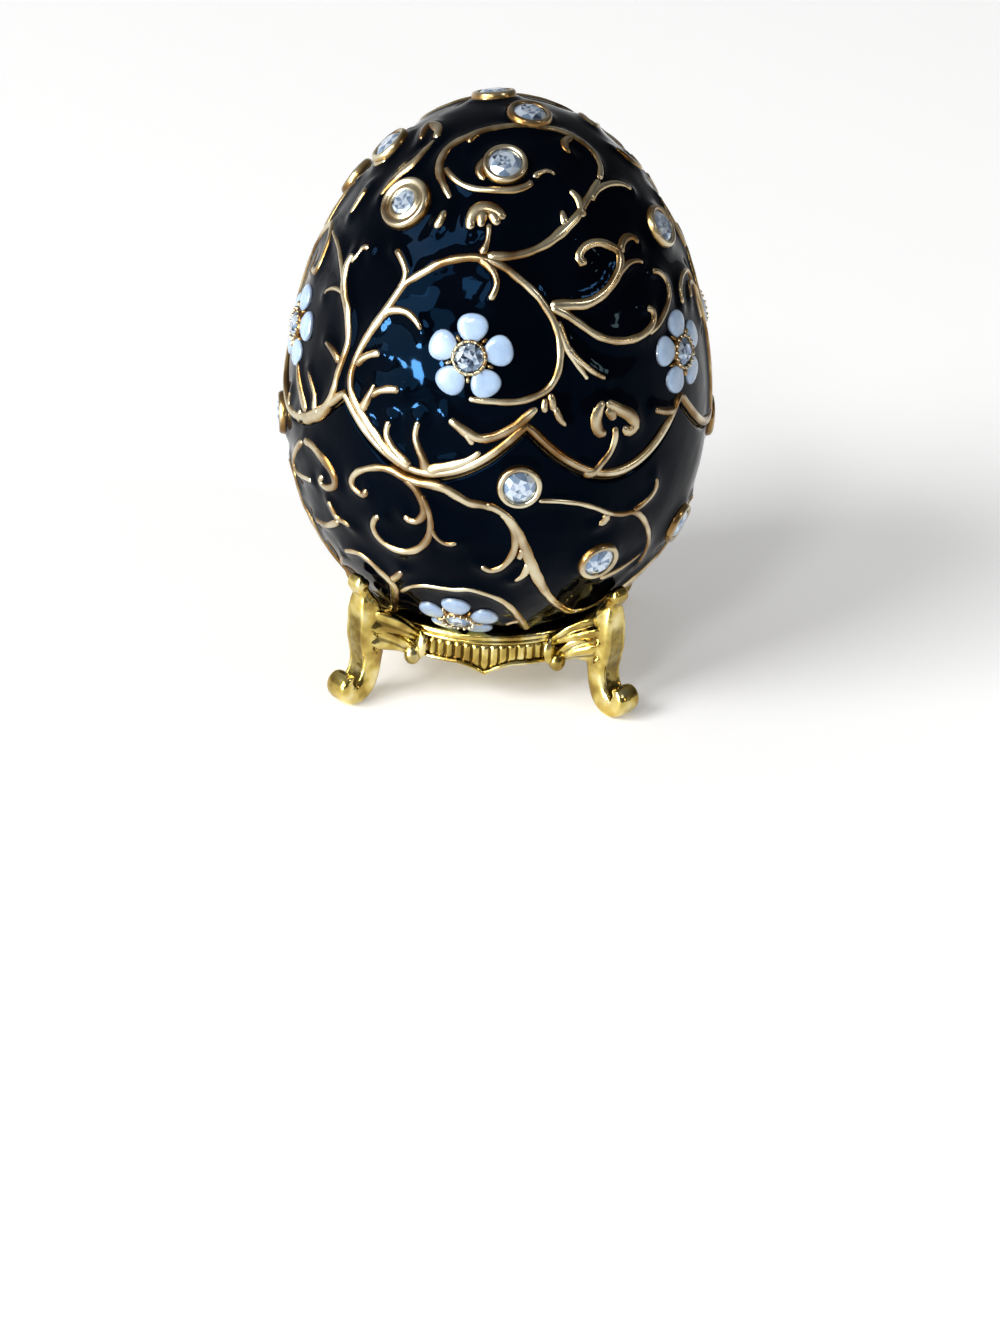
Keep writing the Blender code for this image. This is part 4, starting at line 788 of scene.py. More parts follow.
def material(name):
    """The finish of a name, made once."""
    makers = {"black_enamel": black_enamel, "pale_gold_relief": pale_gold, "yellow_gold": bright_gold,
              "satin_gold_lining": lining_gold, "petal_enamel": petal_enamel, "cut_crystal": crystal,
              "turned_steel": steel}
    return bpy.data.materials.get(name) or makers[name](bpy.context.scene.box_finishes)


# Places

def stones_of(part):
    """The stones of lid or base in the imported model, by name."""
    return sorted(name for name in frame["nodes"] if name.startswith(part + "_stone_"))


def seat(egg, node):
    """Point, east, north and normal of a stone's seat, with the stone's girdle radius.

    The point is the foot on the egg of the middle of the stone's corners, and the radius the furthest that
    a corner lies from the normal.
    """
    mesh = frame["nodes"][node].data
    corners = np.empty(len(mesh.vertices) * 3)
    mesh.vertices.foreach_get("co", corners)
    corners = np.unique(np.round(corners.reshape(-1, 3), 7), axis=0)
    middle = corners.mean(axis=0)
    point, normal = egg.foot(middle)
    east = unit(np.cross(UP, normal))
    reach = corners - point
    flat = reach - (reach @ normal)[:, None] * normal
    return (point, east, np.cross(normal, east), normal), np.linalg.norm(flat, axis=1).max()


def hinge_axis():
    """Depth and height of the hinge's axis."""
    joint = next(j for j in frame["record"]["behaviour"]["joints"] if j["name"] == "lid_hinge")
    return joint["pos_m"][1], joint["pos_m"][2]


def wall_edge(egg, azimuth, upward, depth=0.0):
    """Latitude of a wall's edge at a depth: half a gap from the seam, and round the hinge's groove.

    In the groove the edge's height is the axis's plus or minus the root of radius squared less distance
    squared.
    """
    sizes = egg.sizes
    seam = egg.seam(azimuth) + upward * math.degrees(sizes.seam_gap / 2 / sizes.upper)
    back, level = hinge_axis()
    a = np.radians(azimuth)
    left = sizes.groove ** 2 - (-(sizes.radius - depth) * np.cos(a) - back) ** 2
    level = level + upward * np.sqrt(np.clip(left, 0.0, None))
    half = sizes.upper if upward > 0 else sizes.lower
    drawn = np.degrees(np.arcsin((level - sizes.equator) / half))
    low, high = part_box("hinge_pin")
    length = high[0] - low[0] + 2 * (sizes.groove - (high[2] - low[2]) / 2)
    inside = (np.abs(sizes.radius * np.sin(a)) < length / 2) & (left > 0)
    return np.where(inside, upward * np.maximum(upward * seam, upward * drawn), seam)


def clear_of_hinge(points):
    """Whether points of the back keep a margin to the hinge leaves."""
    low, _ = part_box("base_hinge_leaf")
    _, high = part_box("lid_hinge_leaf")
    margin = 1.3 * MM
    beside = np.abs(points[:, 0]) > high[0] + margin
    above = (points[:, 2] > high[2] + margin) | (points[:, 2] < low[2] - margin)
    return (points[:, 1] < 0) | beside | above


# Egg pieces

def view_axes():
    """The camera's place, and its directions to the right, up and ahead."""
    place, target = np.array(CAMERA_PLACE), np.array(CAMERA_TARGET)
    ahead = unit(target - place)
    side = unit(np.cross(ahead, UP))
    up = np.cross(side, ahead)
    c, s = math.cos(math.radians(CAMERA_ROLL)), math.sin(math.radians(CAMERA_ROLL))
    return place, side * c + up * s, up * c - side * s, ahead


def traced(egg, points):
    """Azimuth and height of the places on the egg that show at points of the photograph's frame.

    A ray meets each half ellipsoid where the scaled distance from the centre is one: the nearer root of a
    quadratic, held at the limb for a ray that just misses.
    """
    place, right, up, ahead = view_axes()
    x, y = np.array(points, float).T
    ray = unit(ahead * CAMERA_FOCAL + np.outer(x - FRAME[0] / 2, right) - np.outer(y - FRAME[1] / 2, up))
    sizes = egg.sizes
    hits = []
    for half in (sizes.upper, sizes.lower):
        scale = 1 / np.array([sizes.radius, sizes.radius, half])
        start, along = (place - UP * sizes.equator) * scale, ray * scale
        a, b, c = (along ** 2).sum(-1), 2 * along @ start, start @ start - 1
        root = np.sqrt(np.clip(b ** 2 - 4 * a * c, 0.0, None))
        hits.append(place + ray * (-(b + root) / (2 * a))[:, None])
    level = hits[0][:, 2] - sizes.equator
    found = np.where(level[:, None] >= 0, hits[0], hits[1])
    level = found[:, 2] - sizes.equator
    azimuth = np.degrees(np.arctan2(found[:, 0], -found[:, 1]))
    rise = level / np.where(level > 0, sizes.upper, sizes.lower)
    return azimuth, egg.height(azimuth, np.degrees(np.arcsin(np.clip(rise, -1.0, 1.0))))


def route_path(egg, azimuth, height, step=0.4 * MM):
    """Smooth path on the egg through a route's points, split where it would cross the hinge."""
    knots = egg.place(azimuth, egg.latitude(azimuth, height))
    span = np.linalg.norm(np.diff(knots, axis=0), axis=1).sum()
    path = through(knots, max(6, int(span / step)))
    share = np.linspace(0, 1, len(path))
    keep = clear_of_hinge(path)
    edges = np.flatnonzero(np.diff(np.concatenate([[0], keep.astype(int), [0]])))
    return [(path[a:b], share[a:b]) for a, b in edges.reshape(-1, 2) if b - a > 5]


def all_paths(egg, upward):
    """Paths and widths of the routes of lid or base, with the hidden back's copies turned half round.

    A width goes straight from step to step, times 1 + 0.05 sin(1.1 i) at point i, so that it swells and
    thins a little on the way.
    """
    front, flanks = (LID_TRACED, LID_FLANKS) if upward > 0 else (BASE_TRACED, BASE_FLANKS)
    routes = [(name, widths, *traced(egg, points)) for name, widths, *points in front]
    routes += [(name, widths, *np.array(points, float).T) for name, widths, *points in flanks]
    made = []
    for name, widths, azimuth, height in routes:
        height = upward * np.maximum(upward * height, 0.9)
        for turn in (0.0, 180.0):
            for path, share in route_path(egg, azimuth + turn, height):
                width = np.interp(share, np.linspace(0, 1, len(widths)), widths)
                sway = 1 + 0.05 * np.sin(np.arange(len(path)) * 1.1 + len(name))
                made.append((path, width * sway * MM))
    return made


def stem(patch, egg, path, width):
    """Half-round bar on the egg: across w sin t, rise h cos t, rounded off over half a width at its ends."""
    foot, normal = egg.foot(path)
    side = unit(np.cross(normal, unit(np.gradient(path, axis=0))))
    along = np.concatenate([[0.0], np.cumsum(np.linalg.norm(np.diff(path, axis=0), axis=1))])
    near_end = np.minimum(along, along[-1] - along) / (width * 0.5)
    close = np.sqrt(np.clip(1 - (1 - np.clip(near_end, 0.0, 1.0)) ** 2, 0.02, 1.0))
    angle = np.radians(BAR_ANGLES)
    buried = np.abs(angle) > np.radians(92)
    across = np.sin(angle) * np.where(buried, 1.12, 1.0)
    rise = np.where(buried, -0.35, np.cos(angle))
    lift = egg.sizes.vine_height * close * np.minimum(1.0, width / (1.1 * MM)) ** 0.5
    # The mark, high on the crest and nothing at the foot, places the gold's painted highlight and painted
    # shade.
    carried(patch, foot, side, normal, np.outer(width / 2 * close, across), np.outer(lift, rise),
            np.clip(rise, 0, 1))


def wall(egg, part, upward):
    """Closed shells of lid or base: enamel outside, drawn up against the metal, and a gold lining inside.

    The rows of a shell go in even steps of latitude from the edge to the pole, at a depth below the egg's
    surface. At a distance d from the metal the enamel stands higher by the meniscus times e to the power
    -d / reach.
    """
    sizes = egg.sizes
    azimuth = egg.stations()

    def rows(depth, count, to_pole=True):
        """Rows of points from the edge to the pole, or back, at a depth below the surface."""
        edge = wall_edge(egg, azimuth, upward, depth)
        shares = np.linspace(0, 1, count)[:, None]
        found = egg.place(azimuth, edge + (90.0 * upward - edge) * shares, -depth)
        return found if to_pole else found[::-1]

    outer = rows(0.0, COAT_ROWS, False)
    paths = all_paths(egg, upward)
    lines = np.concatenate([path for path, _ in paths])
    half = np.concatenate([width for _, width in paths]) / 2
    away = np.stack([(np.linalg.norm(row[:, None] - lines, axis=2) - half).min(axis=1) for row in outer])
    for node in stones_of(part):
        (point, *_), radius = seat(egg, node)
        away = np.minimum(away, np.linalg.norm(outer - point, axis=2) - radius - sizes.setting)
    lift = sizes.meniscus * np.exp(-np.clip(away, 0, None) / sizes.meniscus_reach)
    outer = outer + egg.foot(outer)[1] * lift[..., None]
    coat = Patch().grid(np.concatenate([outer, rows(sizes.enamel, BACK_ROWS)]), wrap_v=True)
    deep = np.linspace(sizes.enamel * 1.05, sizes.wall, 6)
    rim = [rows(depth, 1) for depth in deep[1:-1]]
    metal = np.concatenate([rows(deep[0], BACK_ROWS, False), *rim, rows(deep[-1], LINING_ROWS)])
    lining = Patch().grid(metal, wrap_v=True)
    hand_over(coat.piece(part + "_enamel", "black_enamel"), part)
    hand_over(lining.piece(part + "_lining", "satin_gold_lining"), part, part + "_shell")


def post(name, body, point, profile, upward=1):
    """Turned post inside the egg, upright or hanging."""
    piece = turned(Patch(), profile, (point, X_AXIS, Y_AXIS, UP * upward)).piece(name, "satin_gold_lining")
    hand_over(piece, body)


def magnet_boss(egg, part, upward):
    """Cup inside the wall that holds a magnet level with its mouth."""
    low, high = np.array(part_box(part + "_magnet"))
    pocket = (high[0] - low[0]) / 2 + 0.25 * MM
    floor, outer, top = high[2] - low[2] + 0.45 * MM, egg.sizes.boss, egg.sizes.boss_height
    profile = [(0.0, floor), (pocket, floor), (pocket, 0.1 * MM), (pocket + 0.1 * MM, 0.0),
               (outer - 0.15 * MM, 0.0), (outer, 0.15 * MM), (outer, top - 0.8 * MM), (outer - 0.8 * MM, top),
               (0.0, top)]
    middle = (low + high) / 2
    middle[2] = (low[2] if upward > 0 else high[2]) - upward * 0.2 * MM
    post(part + "_magnet_boss", part, middle, profile, upward)


def screw_boss(egg):
    """Pillar on the base's floor that the stand's screw goes into."""
    radius, top, foot = 2.7 * MM, 3.6 * MM, -0.6 * MM
    profile = [(0.0, foot), (radius, foot), (radius, top - 0.7 * MM), (radius - 0.2 * MM, top - 0.2 * MM),
               (radius - 0.7 * MM, top), (0.0, top)]
    post("base_screw_boss", "base", UP * (egg.sizes.equator - egg.sizes.lower + egg.sizes.wall), profile)


def bead(egg):
    """Bead along the lid's edge: across w / 2 sin t, rise h cos t, square to the edge and low at its ends."""
    width, height = egg.sizes.bead_width, egg.sizes.bead_height
    azimuth = egg.stations()
    azimuth = azimuth[np.argsort((azimuth + 180.0) % 360.0)]
    azimuth = azimuth[egg.from_back(azimuth) > BEAD_END]
    path = egg.place(azimuth, wall_edge(egg, azimuth, 1))
    foot, normal = egg.foot(path)
    side = unit(np.cross(normal, unit(np.gradient(path, axis=0))))
    angle = np.radians(np.linspace(-90, 90, 9))
    across = np.concatenate([[-0.45], 0.5 * np.sin(angle), [0.45]]) * width
    rise = np.concatenate([[-0.5], np.cos(angle), [-0.5]])
    calm = 0.1 + 0.9 * ease((egg.from_back(azimuth) - BEAD_END) / 8.0)
    middle = rise.mean()
    centre = foot + side * width / 2 + normal * (calm * middle * height)[:, None]
    # The mark, high on the crest and nothing at the foot, places the gold's painted highlight and painted
    # shade.
    patch = carried(Patch(), centre, side, normal, np.outer(np.ones_like(calm), across),
                    np.outer(calm, (rise - middle) * height), np.clip(rise, 0, 1))
    hand_over(patch.piece("lid_edge_bead", "pale_gold_relief"), "lid")


def setting(patch, kind, place, radius):
    """Turned metal ring of a setting, its lip rubbed over the stone's edge; a flower's ring has grains."""
    profile = np.array(LIPS[kind]) * MM + [radius, 0.0]
    # Low rows and the seat under the stone get a mark of nothing: painted shade in the gold.
    rise = np.clip(profile[:, 1] / (0.8 * MM), 0.0, 1.0)
    rise[-3:] = 0.0
    turned(patch, np.vstack([profile, profile[:1]]), place, 48, np.append(rise, rise[0]))
    if kind == "flower":
        point, east, north, normal = place
        for a in np.arange(GRAINS) * 2 * np.pi / GRAINS:
            out = east * np.cos(a) + north * np.sin(a)
            foot = point + out * (radius + 0.16 * MM) + normal * 0.5 * MM
            grain = (foot, out, np.cross(normal, out), normal)
            blob(patch, grain, 0.24 * MM, 0.24 * MM, 0.38 * MM, 8, 1.0)


def blob(patch, place, wide, long, high, sides, mark):
    """Low dome over an ellipse: reach follows cos t and height sin t, closed below the surface."""
    point, east, north, normal = place
    t = np.radians([-90, -40, 0, 20, 40, 58, 75, 90])
    profile = np.stack([np.cos(t), np.where(t < 0, 0.6, 1.0) * np.sin(t) * high], 1)
    turned(patch, profile, (point, east * wide, north * long, normal), sides, mark)


def petal(patch, place):
    """Domed petal: outline r (1 + 0.08 cos t - 0.06 cos 3t), flat in the middle and round towards its rim."""
    foot, out, across, normal = place
    angle = np.linspace(0, 2 * np.pi, 32, endpoint=False)
    reach = 1.68 * MM * (1 + 0.08 * np.cos(angle) - 0.06 * np.cos(3 * angle))
    share = np.array([1.0, 1.0, 0.97, 0.9, 0.78, 0.6, 0.35, 0.0])
    high = np.array([-0.9, 0.0, 0.3, 0.5, 0.68, 0.8, 0.86, 0.88]) * 0.62 * MM
    spoke = np.cos(angle)[:, None] * out + 0.98 * np.sin(angle)[:, None] * across
    rings = foot + spoke[:, None] * np.outer(reach, share)[..., None] + normal * high[:, None]
    patch.grid(rings, np.clip(high / (0.6 * MM), 0.0, 1.0), wrap_u=True)


def around(egg, place, angle, reach):
    """Place on the egg under a seat's point plus reach times (east cos a + north sin a)."""
    point, east, north, _ = place
    a = math.radians(angle)
    out = east * math.cos(a) + north * math.sin(a)
    foot, normal = egg.foot(point + out * reach)
    out = unit(out - normal * (out @ normal))
    return foot, out, np.cross(normal, out), normal


def brilliant(egg, node):
    """Round brilliant: rings of 1, 8, 8, 8, 16 and 1 corners about the seat's normal, joined by its facets.

    A facet's brightness, a painted reflection, is the part past the point of a large sine of its number and
    of the stone's place, so that the table shows the pavilion as a star.
    """
    (point, east, north, normal), radius = seat(egg, node)
    girdle, crown, depth = 0.45 * MM, 0.30 * radius, 0.4 * radius

    def ring(count, share, height, turn=0.0):
        """Corners at even angles, at a share of the radius and a height over the girdle."""
        angle = 2 * np.pi * (np.arange(count) + turn) / count
        spoke = np.cos(angle)[:, None] * east + np.sin(angle)[:, None] * north
        return point + spoke * radius * share + normal * (girdle + height)

    rings = [ring(1, 0.0, crown), ring(8, 0.3, crown, 0.5), ring(8, 0.56, crown),
             ring(8, 0.8, crown * 0.5, 0.5), ring(16, 1.0, 0.0), ring(1, 0.0, -depth)]
    faces = []
    for i in range(8):
        after, before = (i + 1) % 8, (i - 1) % 8
        faces += [[0, 1 + i, 1 + after], [1 + i, 9 + i, 9 + after], [1 + i, 9 + after, 1 + after],
                  [9 + i, 17 + i, 9 + after], [9 + i, 17 + before, 25 + 2 * i, 17 + i],
                  [17 + i, 25 + 2 * i, 26 + 2 * i], [17 + i, 26 + 2 * i, 25 + (2 * i + 2) % 16]]
    faces += [[41, 25 + (j + 1) % 16, 25 + j] for j in range(16)]
    mesh = bpy.data.meshes.new("cut_" + node)
    mesh.from_pydata(np.vstack(rings).tolist(), [], faces)
    stone = finished("cut_" + node, mesh, "cut_crystal", smooth=False)
    # Stones other than a flower's are lifted brighter: more painted glint.
    lift = 0.0 if kind_of(node) == "flower" else 0.22
    wave = 12.9898 * (np.arange(len(faces)) + 1) + 78.233 * point[0] / MM
    layer = mesh.attributes.new("glint", "FLOAT", "FACE")
    layer.data.foreach_set("value", (np.sin(wave) * 43758.5453 % 1.0 + lift).astype(np.float32))
    hand_over(stone, node.split("_")[0], node)


def kind_of(node):
    """Kind of setting that a stone's name asks for."""
    if "flower" in node:
        return "flower"
    if node.endswith("left_shoulder"):
        return "wide"
    return "plain"


class BOX_OT_walls(bpy.types.Operator):
    """Make the enamelled walls of lid and base, their gold linings and the bead along the lid's edge"""

    bl_idname = "box.walls"
    bl_label = "Enamelled walls"

    def execute(self, context):
        egg = Egg(context.scene.egg_sizes)
        for part, upward in PARTS:
            wall(egg, part, upward)
            magnet_boss(egg, part, upward)
        bead(egg)
        screw_boss(egg)
        return {"FINISHED"}


class BOX_OT_scrollwork(bpy.types.Operator):
    """Make the raised scrollwork of lid and base"""

    bl_idname = "box.scrollwork"
    bl_label = "Scrollwork"

    def execute(self, context):
        egg = Egg(context.scene.egg_sizes)
        for part, upward in PARTS:
            patch = Patch()
            for path, width in all_paths(egg, upward):
                stem(patch, egg, path, width)
            hand_over(patch.piece(part + "_scrollwork", "pale_gold_relief"), part)
        return {"FINISHED"}


class BOX_OT_settings(bpy.types.Operator):
    """Make the metal settings and the enamelled petals round them"""

    bl_idname = "box.settings"
    bl_label = "Settings and petals"

    def execute(self, context):
        egg = Egg(context.scene.egg_sizes)
        for part, _ in PARTS:
            metal, petals = Patch(), Patch()
            for node in stones_of(part):
                place, radius = seat(egg, node)
                setting(metal, kind_of(node), place, radius)
                if kind_of(node) == "flower":
                    for angle in np.arange(PETALS) * 360.0 / PETALS:
                        petal(petals, around(egg, place, 90.0 + angle, 3.0 * MM))
                        sepal = around(egg, place, 54.0 + angle, 2.35 * MM)
                        blob(metal, sepal, 0.5 * MM, 0.24 * MM, 0.6 * MM, 12, 0.7)
            hand_over(metal.piece(part + "_settings", "pale_gold_relief"), part)
            hand_over(petals.piece(part + "_petals", "petal_enamel"), part)
        return {"FINISHED"}


class BOX_OT_stones(bpy.types.Operator):
    """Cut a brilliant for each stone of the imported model"""

    bl_idname = "box.stones"
    bl_label = "Stones"

    def execute(self, context):
        egg = Egg(context.scene.egg_sizes)
        for part, _ in reversed(PARTS):
            for node in stones_of(part):
                brilliant(egg, node)
        return {"FINISHED"}


class BOX_OT_fittings(bpy.types.Operator):
    """Finish the hinge, the magnets and the screw"""

    bl_idname = "box.fittings"
    bl_label = "Hinge and fittings"

    def execute(self, context):
        for finish, nodes in FITTINGS.items():
            for node in nodes:
                mesh = frame["nodes"][node].data
                mesh.materials.clear()
                mesh.materials.append(material(finish))
        return {"FINISHED"}


# Stand

def ring_bottom(sizes, azimuth):
    """Lower edge of the ring: level, with a pointed drop midway between the legs.

    At d degrees from the middle it hangs by the drop times (1 - d / 13)^1.6.
    """
    middle = np.abs((azimuth - sizes.leg_azimuth + 90.0) % 90.0 - 45.0)
    return sizes.ring_bottom - sizes.drop * np.clip(1 - middle / 13.0, 0.0, 1.0) ** 1.6


def fluted_ring(sizes):
    """Ring with a lip, a row of round-ended ribs and a bead along its pointed lower edge.

    A rib stands out by the root of |cos| across, times the root of 1 - v^6 from end to end.
    """
    azimuth = np.arange(sizes.flutes * 12) * 360.0 / (sizes.flutes * 12)
    bottom, top, outer = ring_bottom(sizes, azimuth), sizes.ring_top, sizes.ring_radius
    inner = -sizes.ring_wall / MM
    # Marks: inner faces 0.3 and the grooves between ribs low, painted shade in the bright gold.
    rows = [(outer + out * MM, top - drop * MM, 1.0 if out > -0.1 else 0.3) for out, drop in
            ((inner, 0.0), (-0.15, 0.0), (0.14, 0.05), (0.28, 0.2), (0.26, 0.38), (0.1, 0.52), (-0.1, 0.58))]
    rib = np.abs(np.cos(np.radians(azimuth) * sizes.flutes / 2)) ** 0.6
    high, low = top - 0.6 * MM, bottom + 0.55 * MM
    for v in np.linspace(-1, 1, 13):
        stand = rib * max(1 - v ** 6, 0.0) ** 0.5
        level = (high + low) / 2 - (high - low) / 2 * v
        rows.append((outer - 0.2 * MM + sizes.flute_depth * stand, level, stand))
    rows += [(outer + out * MM, bottom + up * MM, unshaded_share) for out, up, unshaded_share in
             ((-0.1, 0.52, 0.3), (0.12, 0.46, 0.9), (0.26, 0.3, 1.0), (0.22, 0.12, 1.0), (0.05, 0.0, 0.8),
              (inner, 0.0, 0.5))]
    points = np.stack([polar(azimuth, radius, height) for radius, height, _ in rows], 1)
    mark = np.stack([np.broadcast_to(unshaded_share, azimuth.shape) for _, _, unshaded_share in rows], 1)
    return Patch().grid(points, mark, wrap_u=True, wrap_v=True).piece("stand_ring", "yellow_gold")


def saucer(egg, sizes):
    """Dish under the egg: its surface moved out by the gap, and by gap and thickness, with the screw's hole.

    A latitude at which the egg has a reach r is minus the arc cosine of r over its radius.
    """
    azimuth = np.linspace(0, 360, 96, endpoint=False)
    reach = np.array([sizes.ring_radius - sizes.ring_wall / 2, sizes.screw_hole])
    edge, hole = -np.degrees(np.arccos(reach / egg.sizes.radius))
    latitude = np.linspace(edge, hole, 30)[:, None]
    points = np.concatenate([egg.place(azimuth, latitude, sizes.clearance),
                             egg.place(azimuth, latitude[::-1], sizes.clearance + sizes.saucer)])
    return Patch().grid(points, wrap_u=True, wrap_v=True).piece("stand_saucer", "yellow_gold")


def spoke(azimuth):
    """Outward and sideways directions at an azimuth: (sin a, -cos a) and (cos a, sin a)."""
    return polar(np.array([azimuth, azimuth + 90.0]), 1.0, 0.0)


def leg(azimuth, name):
    """A leg: rounded sections down its middle line, with a sunk satin panel in front between two rims,
    painted darker as shade.

    Across half width times the root of |cos t|, deep half depth times the root of |sin t|, each with its
    sign, and nothing goes below the floor.
    """
    out, across = spoke(azimuth)
    line = through(np.array(LEG_STATIONS) * MM, 130)
    centre = out * line[:, :1] + UP * line[:, 1:2]
    depth = unit(np.cross(unit(np.gradient(centre, axis=0)), across))
    angle = np.linspace(0, 2 * np.pi, 48, endpoint=False)
    wide, deep = rounded(np.cos(angle), 4.0), rounded(np.sin(angle), 4.0)
    sunk = ease((0.72 - np.abs(wide)) / 0.18) * (deep > 0.5)
    share = np.linspace(0, 1, len(line))
    panel = np.outer(ease((share - 0.2) / 0.1) * ease((0.9 - share) / 0.08), sunk)
    rise = line[:, 2:3] * deep - 0.14 * MM * panel
    # The panel's lower mark gives it painted shade in the bright gold.
    mark = 1.0 - 0.55 * np.pad(panel, ((1, 1), (0, 0)))
    patch = carried(Patch(), centre, across, depth, line[:, 3:4] * wide, rise, mark)
    bracket = through(np.array(BRACKET_STATIONS) * MM, 30)
    centre = out * bracket[:, :1] + UP * bracket[:, 1:2]
    # The web's mark of 0.7 gives it some painted shade.
    tube(patch, centre, across, UP, bracket[:, 3], bracket[:, 2], 2.4, 24, 0.7)
    patch.points = [np.maximum(points, [-np.inf, -np.inf, 0.0]) for points in patch.points]
    return patch.piece(name, "yellow_gold")


def leaves(sizes, azimuth, name):
    """Ridged acanthus leaves from a leg to the ring on both sides, with the scroll and knob they end on.

    A leaf's stations go in from the leg to the ring as they turn away from it, and the knob is turned.
    """
    patch = Patch()
    root, tip = 20.0 * MM, sizes.ring_radius + 0.1 * MM
    inward, bend, lift, half = np.array(LEAF_STATIONS).T
    beside, out, up, girth = np.array(SCROLL_STATIONS).T
    knob = through(np.pad(KNOB_PROFILE, ((0, 0), (0, 1))), 16)[:, :2] * [1.0 * MM, 1.2 * MM]
    for side in (-1, 1):
        for rise, turn in LEAVES:
            line = polar(azimuth + side * turn * bend, root + (tip - root) * inward,
                         sizes.ring_top + (rise + lift) * MM)
            leaf(patch, line, half * MM, 44, 0.15)
        line = polar(azimuth + side * beside, sizes.ring_radius + out * MM, sizes.ring_top + up * MM)
        leaf(patch, line, girth * MM, 30, 0.0)
        away, across = spoke(azimuth + side * KNOB_TURN)
        point = away * (sizes.ring_radius + 0.75 * MM) + UP * (sizes.ring_bottom + 0.15 * MM)
        # The knob's mark of 0.55 gives it painted shade.
        turned(patch, knob, (point, away, across, UP), 24, 0.55)
    return patch.piece(name, "yellow_gold")


def leaf(patch, stations, girth, count, ridge):
    """A leaf through stations with half girths, flatter than it is tall, with ridges from root to tip."""
    line = through(np.column_stack([stations, girth]), count)
    centre = line[:, :3]
    ahead = unit(np.gradient(centre, axis=0))
    lift = unit(np.cross(ahead, unit(centre * [1.0, 1.0, 0.0])))
    tube(patch, centre, lift, unit(np.cross(lift, ahead)), line[:, 3], line[:, 3] * 0.62, 2.0, 56, 1.0, ridge)


class BOX_OT_stand(bpy.types.Operator):
    """Make the stand: fluted ring, saucer, four scrolled legs and their leaves"""

    bl_idname = "box.stand"
    bl_label = "Scroll stand"

    def execute(self, context):
        sizes = context.scene.stand_sizes
        egg = Egg(context.scene.egg_sizes)
        pieces = [fluted_ring(sizes), saucer(egg, sizes)]
        for k, label in enumerate(("front_right", "back_right", "back_left", "front_left")):
            azimuth = sizes.leg_azimuth + 90.0 * k
            pieces += [leg(azimuth, "leg_" + label), leaves(sizes, azimuth, "leaves_" + label)]
        for piece in pieces:
            hand_over(piece, "base", "stand")
        return {"FINISHED"}


# Stage

def pale_room(scene):
    """World: white to the left, grey to the right and overhead; white all round where the camera sees it."""
    world = bpy.data.worlds.new("pale_room")
    room = Maker(world)
    toward = room.node("ShaderNodeTexCoord", output="Generated")
    across = room.node("ShaderNodeSeparateXYZ", None, {0: toward})
    level = 1.0 - 0.75 * across.step(-0.3, 0.6)
    level = level - across.beside(2).step(0.04, 0.30) * (level - 0.24 + 0.18 * across)
    seen = room.node("ShaderNodeLightPath", output="Is Camera Ray")
    background = room.tree.nodes["Background"]
    room.plug(background.inputs["Strength"], level + seen * (1.0 - level))
    room.plug(background.inputs["Color"], WHITE)
    scene.world = world


def white_floor():
    """Floor paint: white, and for what the camera or a mirror sees lifted to white, with its shadows kept."""
    paint = Finish("white_floor", roughness=0.6, base_color=(0.92, 0.92, 0.92), emission_strength=1.0)
    seen = paint.node("ShaderNodeLightPath", output="Is Camera Ray")
    seen = seen + seen.beside("Is Glossy Ray") + seen.beside("Is Transmission Ray")
    paint.feed("Emission Color", paint.mix(seen, (0.0, 0.0, 0.0), (0.24, 0.24, 0.24)))
    return paint.material


def studio_light(name, azimuth, elevation, size, radiance, tint, mirrored):
    """Soft rectangular light that faces the egg; its power is radiance times pi times its area.

    A mirrored light stands for a pale wall: it shows in the gloss and adds no light of its own.
    """
    a, e = math.radians(azimuth), math.radians(elevation)
    toward = Vector((math.sin(a) * math.cos(e), -math.cos(a) * math.cos(e), math.sin(e)))
    data = bpy.data.lights.new(name, "AREA")
    data.shape = "RECTANGLE"
    data.size, data.size_y = size
    data.energy = radiance * math.pi * size[0] * size[1]
    data.color = tint
    thing = bpy.data.objects.new(name, data)
    thing.location = Vector((0.0, 0.0, BOX_MIDDLE)) + toward * LIGHT_DISTANCE
    thing.rotation_euler = toward.to_track_quat("Z", "Y").to_euler()
    thing.visible_diffuse = not mirrored
    bpy.context.scene.collection.objects.link(thing)


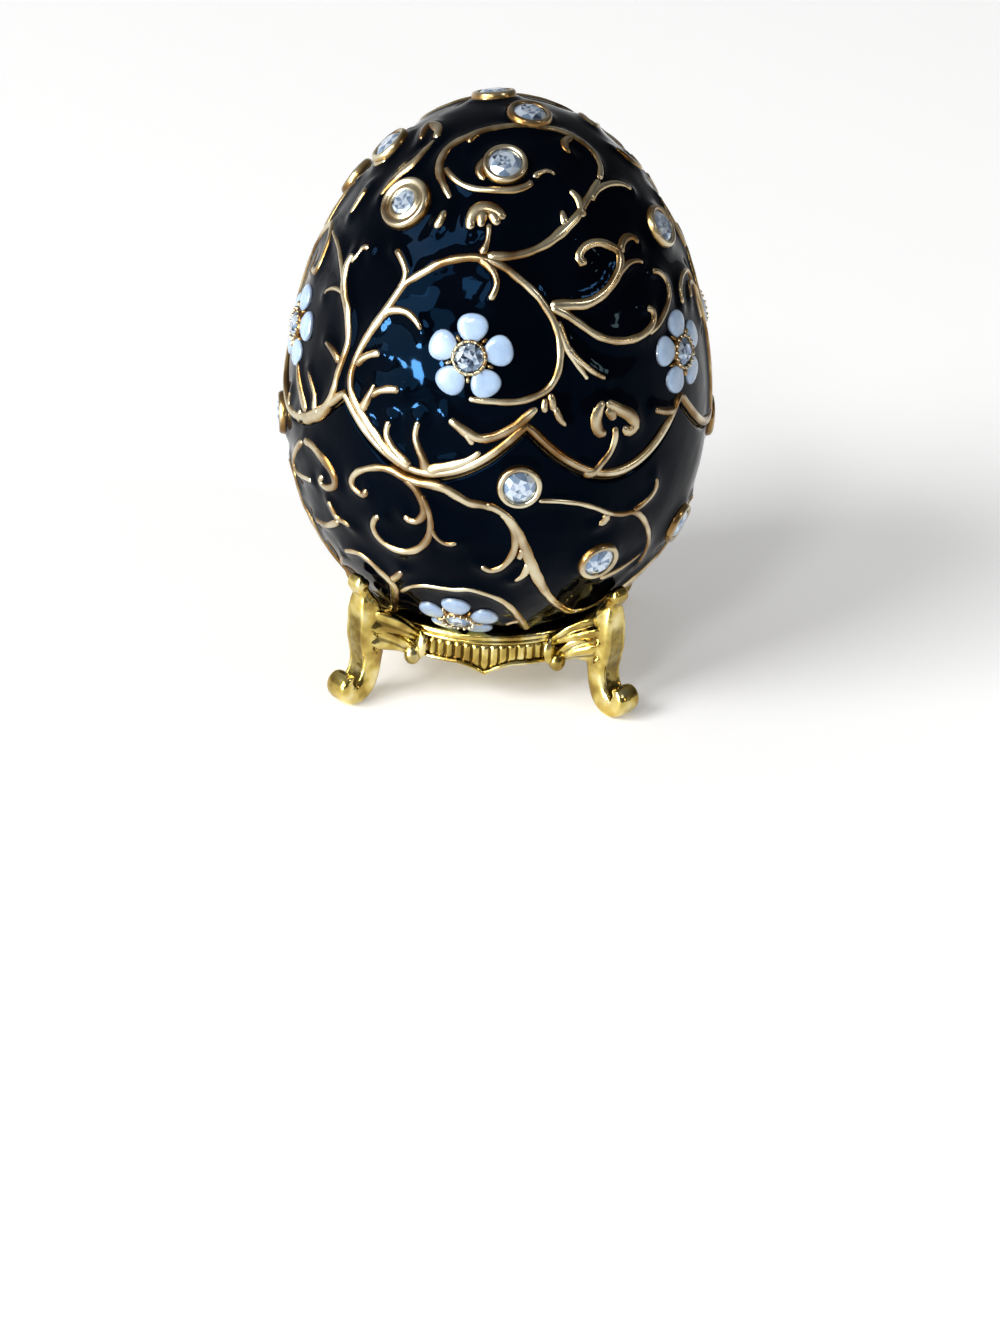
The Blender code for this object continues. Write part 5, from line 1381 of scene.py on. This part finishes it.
class BOX_OT_stage(bpy.types.Operator):
    """Set the pale floor, the soft lights, the white background and the camera"""

    bl_idname = "box.stage"
    bl_label = "Stage"

    def execute(self, context):
        scene = context.scene
        scene.view_settings.view_transform = "Standard"
        mesh = bpy.data.meshes.new("floor")
        corners = [(x * FLOOR_REACH, y * FLOOR_REACH, 0.0) for x, y in ((-1, -1), (1, -1), (1, 1), (-1, 1))]
        mesh.from_pydata(corners, [], [(0, 1, 2, 3)])
        mesh.materials.append(white_floor())
        floor = bpy.data.objects.new("floor", mesh)
        scene.collection.objects.link(floor)

        pale_room(scene)
        for light in LIGHTS:
            studio_light(*light)
        data = bpy.data.cameras.new("camera")
        data.sensor_width = SENSOR
        data.lens = CAMERA_FOCAL / FRAME[1] * SENSOR
        camera = bpy.data.objects.new("camera", data)
        camera.location, right, up, ahead = (Vector(v) for v in view_axes())
        camera.rotation_euler = Matrix((right, up, -ahead)).transposed().to_euler()
        scene.collection.objects.link(camera)
        scene.camera = camera
        return {"FINISHED"}


class BOX_PT_panel(bpy.types.Panel):
    """Lists the operators and the sizes in the sidebar"""

    bl_label = "Trinket box"
    bl_space_type = "VIEW_3D"
    bl_region_type = "UI"
    bl_category = "Trinket Box"

    def draw(self, context):
        for operator in OPERATORS:
            self.layout.operator(operator.bl_idname)
        for group in (context.scene.egg_sizes, context.scene.stand_sizes, context.scene.box_finishes):
            column = self.layout.column(align=True)
            for name in group.__annotations__:
                column.prop(group, name)


GROUPS = (EggSizes, StandSizes, Finishes)
OPERATORS = (BOX_OT_walls, BOX_OT_scrollwork, BOX_OT_settings, BOX_OT_stones, BOX_OT_fittings, BOX_OT_stand,
             BOX_OT_stage)


def register():
    """Registers the classes and hangs the property groups on the scene."""
    for group in (*GROUPS, *OPERATORS, BOX_PT_panel):
        bpy.utils.register_class(group)
    bpy.types.Scene.egg_sizes = bpy.props.PointerProperty(type=EggSizes)
    bpy.types.Scene.stand_sizes = bpy.props.PointerProperty(type=StandSizes)
    bpy.types.Scene.box_finishes = bpy.props.PointerProperty(type=Finishes)


def unregister():
    """Takes away what register added."""
    del bpy.types.Scene.egg_sizes, bpy.types.Scene.stand_sizes, bpy.types.Scene.box_finishes
    for group in reversed((*GROUPS, *OPERATORS, BOX_PT_panel)):
        bpy.utils.unregister_class(group)


def main():
    """Makes every piece and the stage."""
    register()
    bpy.ops.box.walls()
    bpy.ops.box.scrollwork()
    bpy.ops.box.settings()
    bpy.ops.box.stones()
    bpy.ops.box.fittings()
    bpy.ops.box.stand()
    bpy.ops.box.stage()


if __name__ == "__main__":
    main()
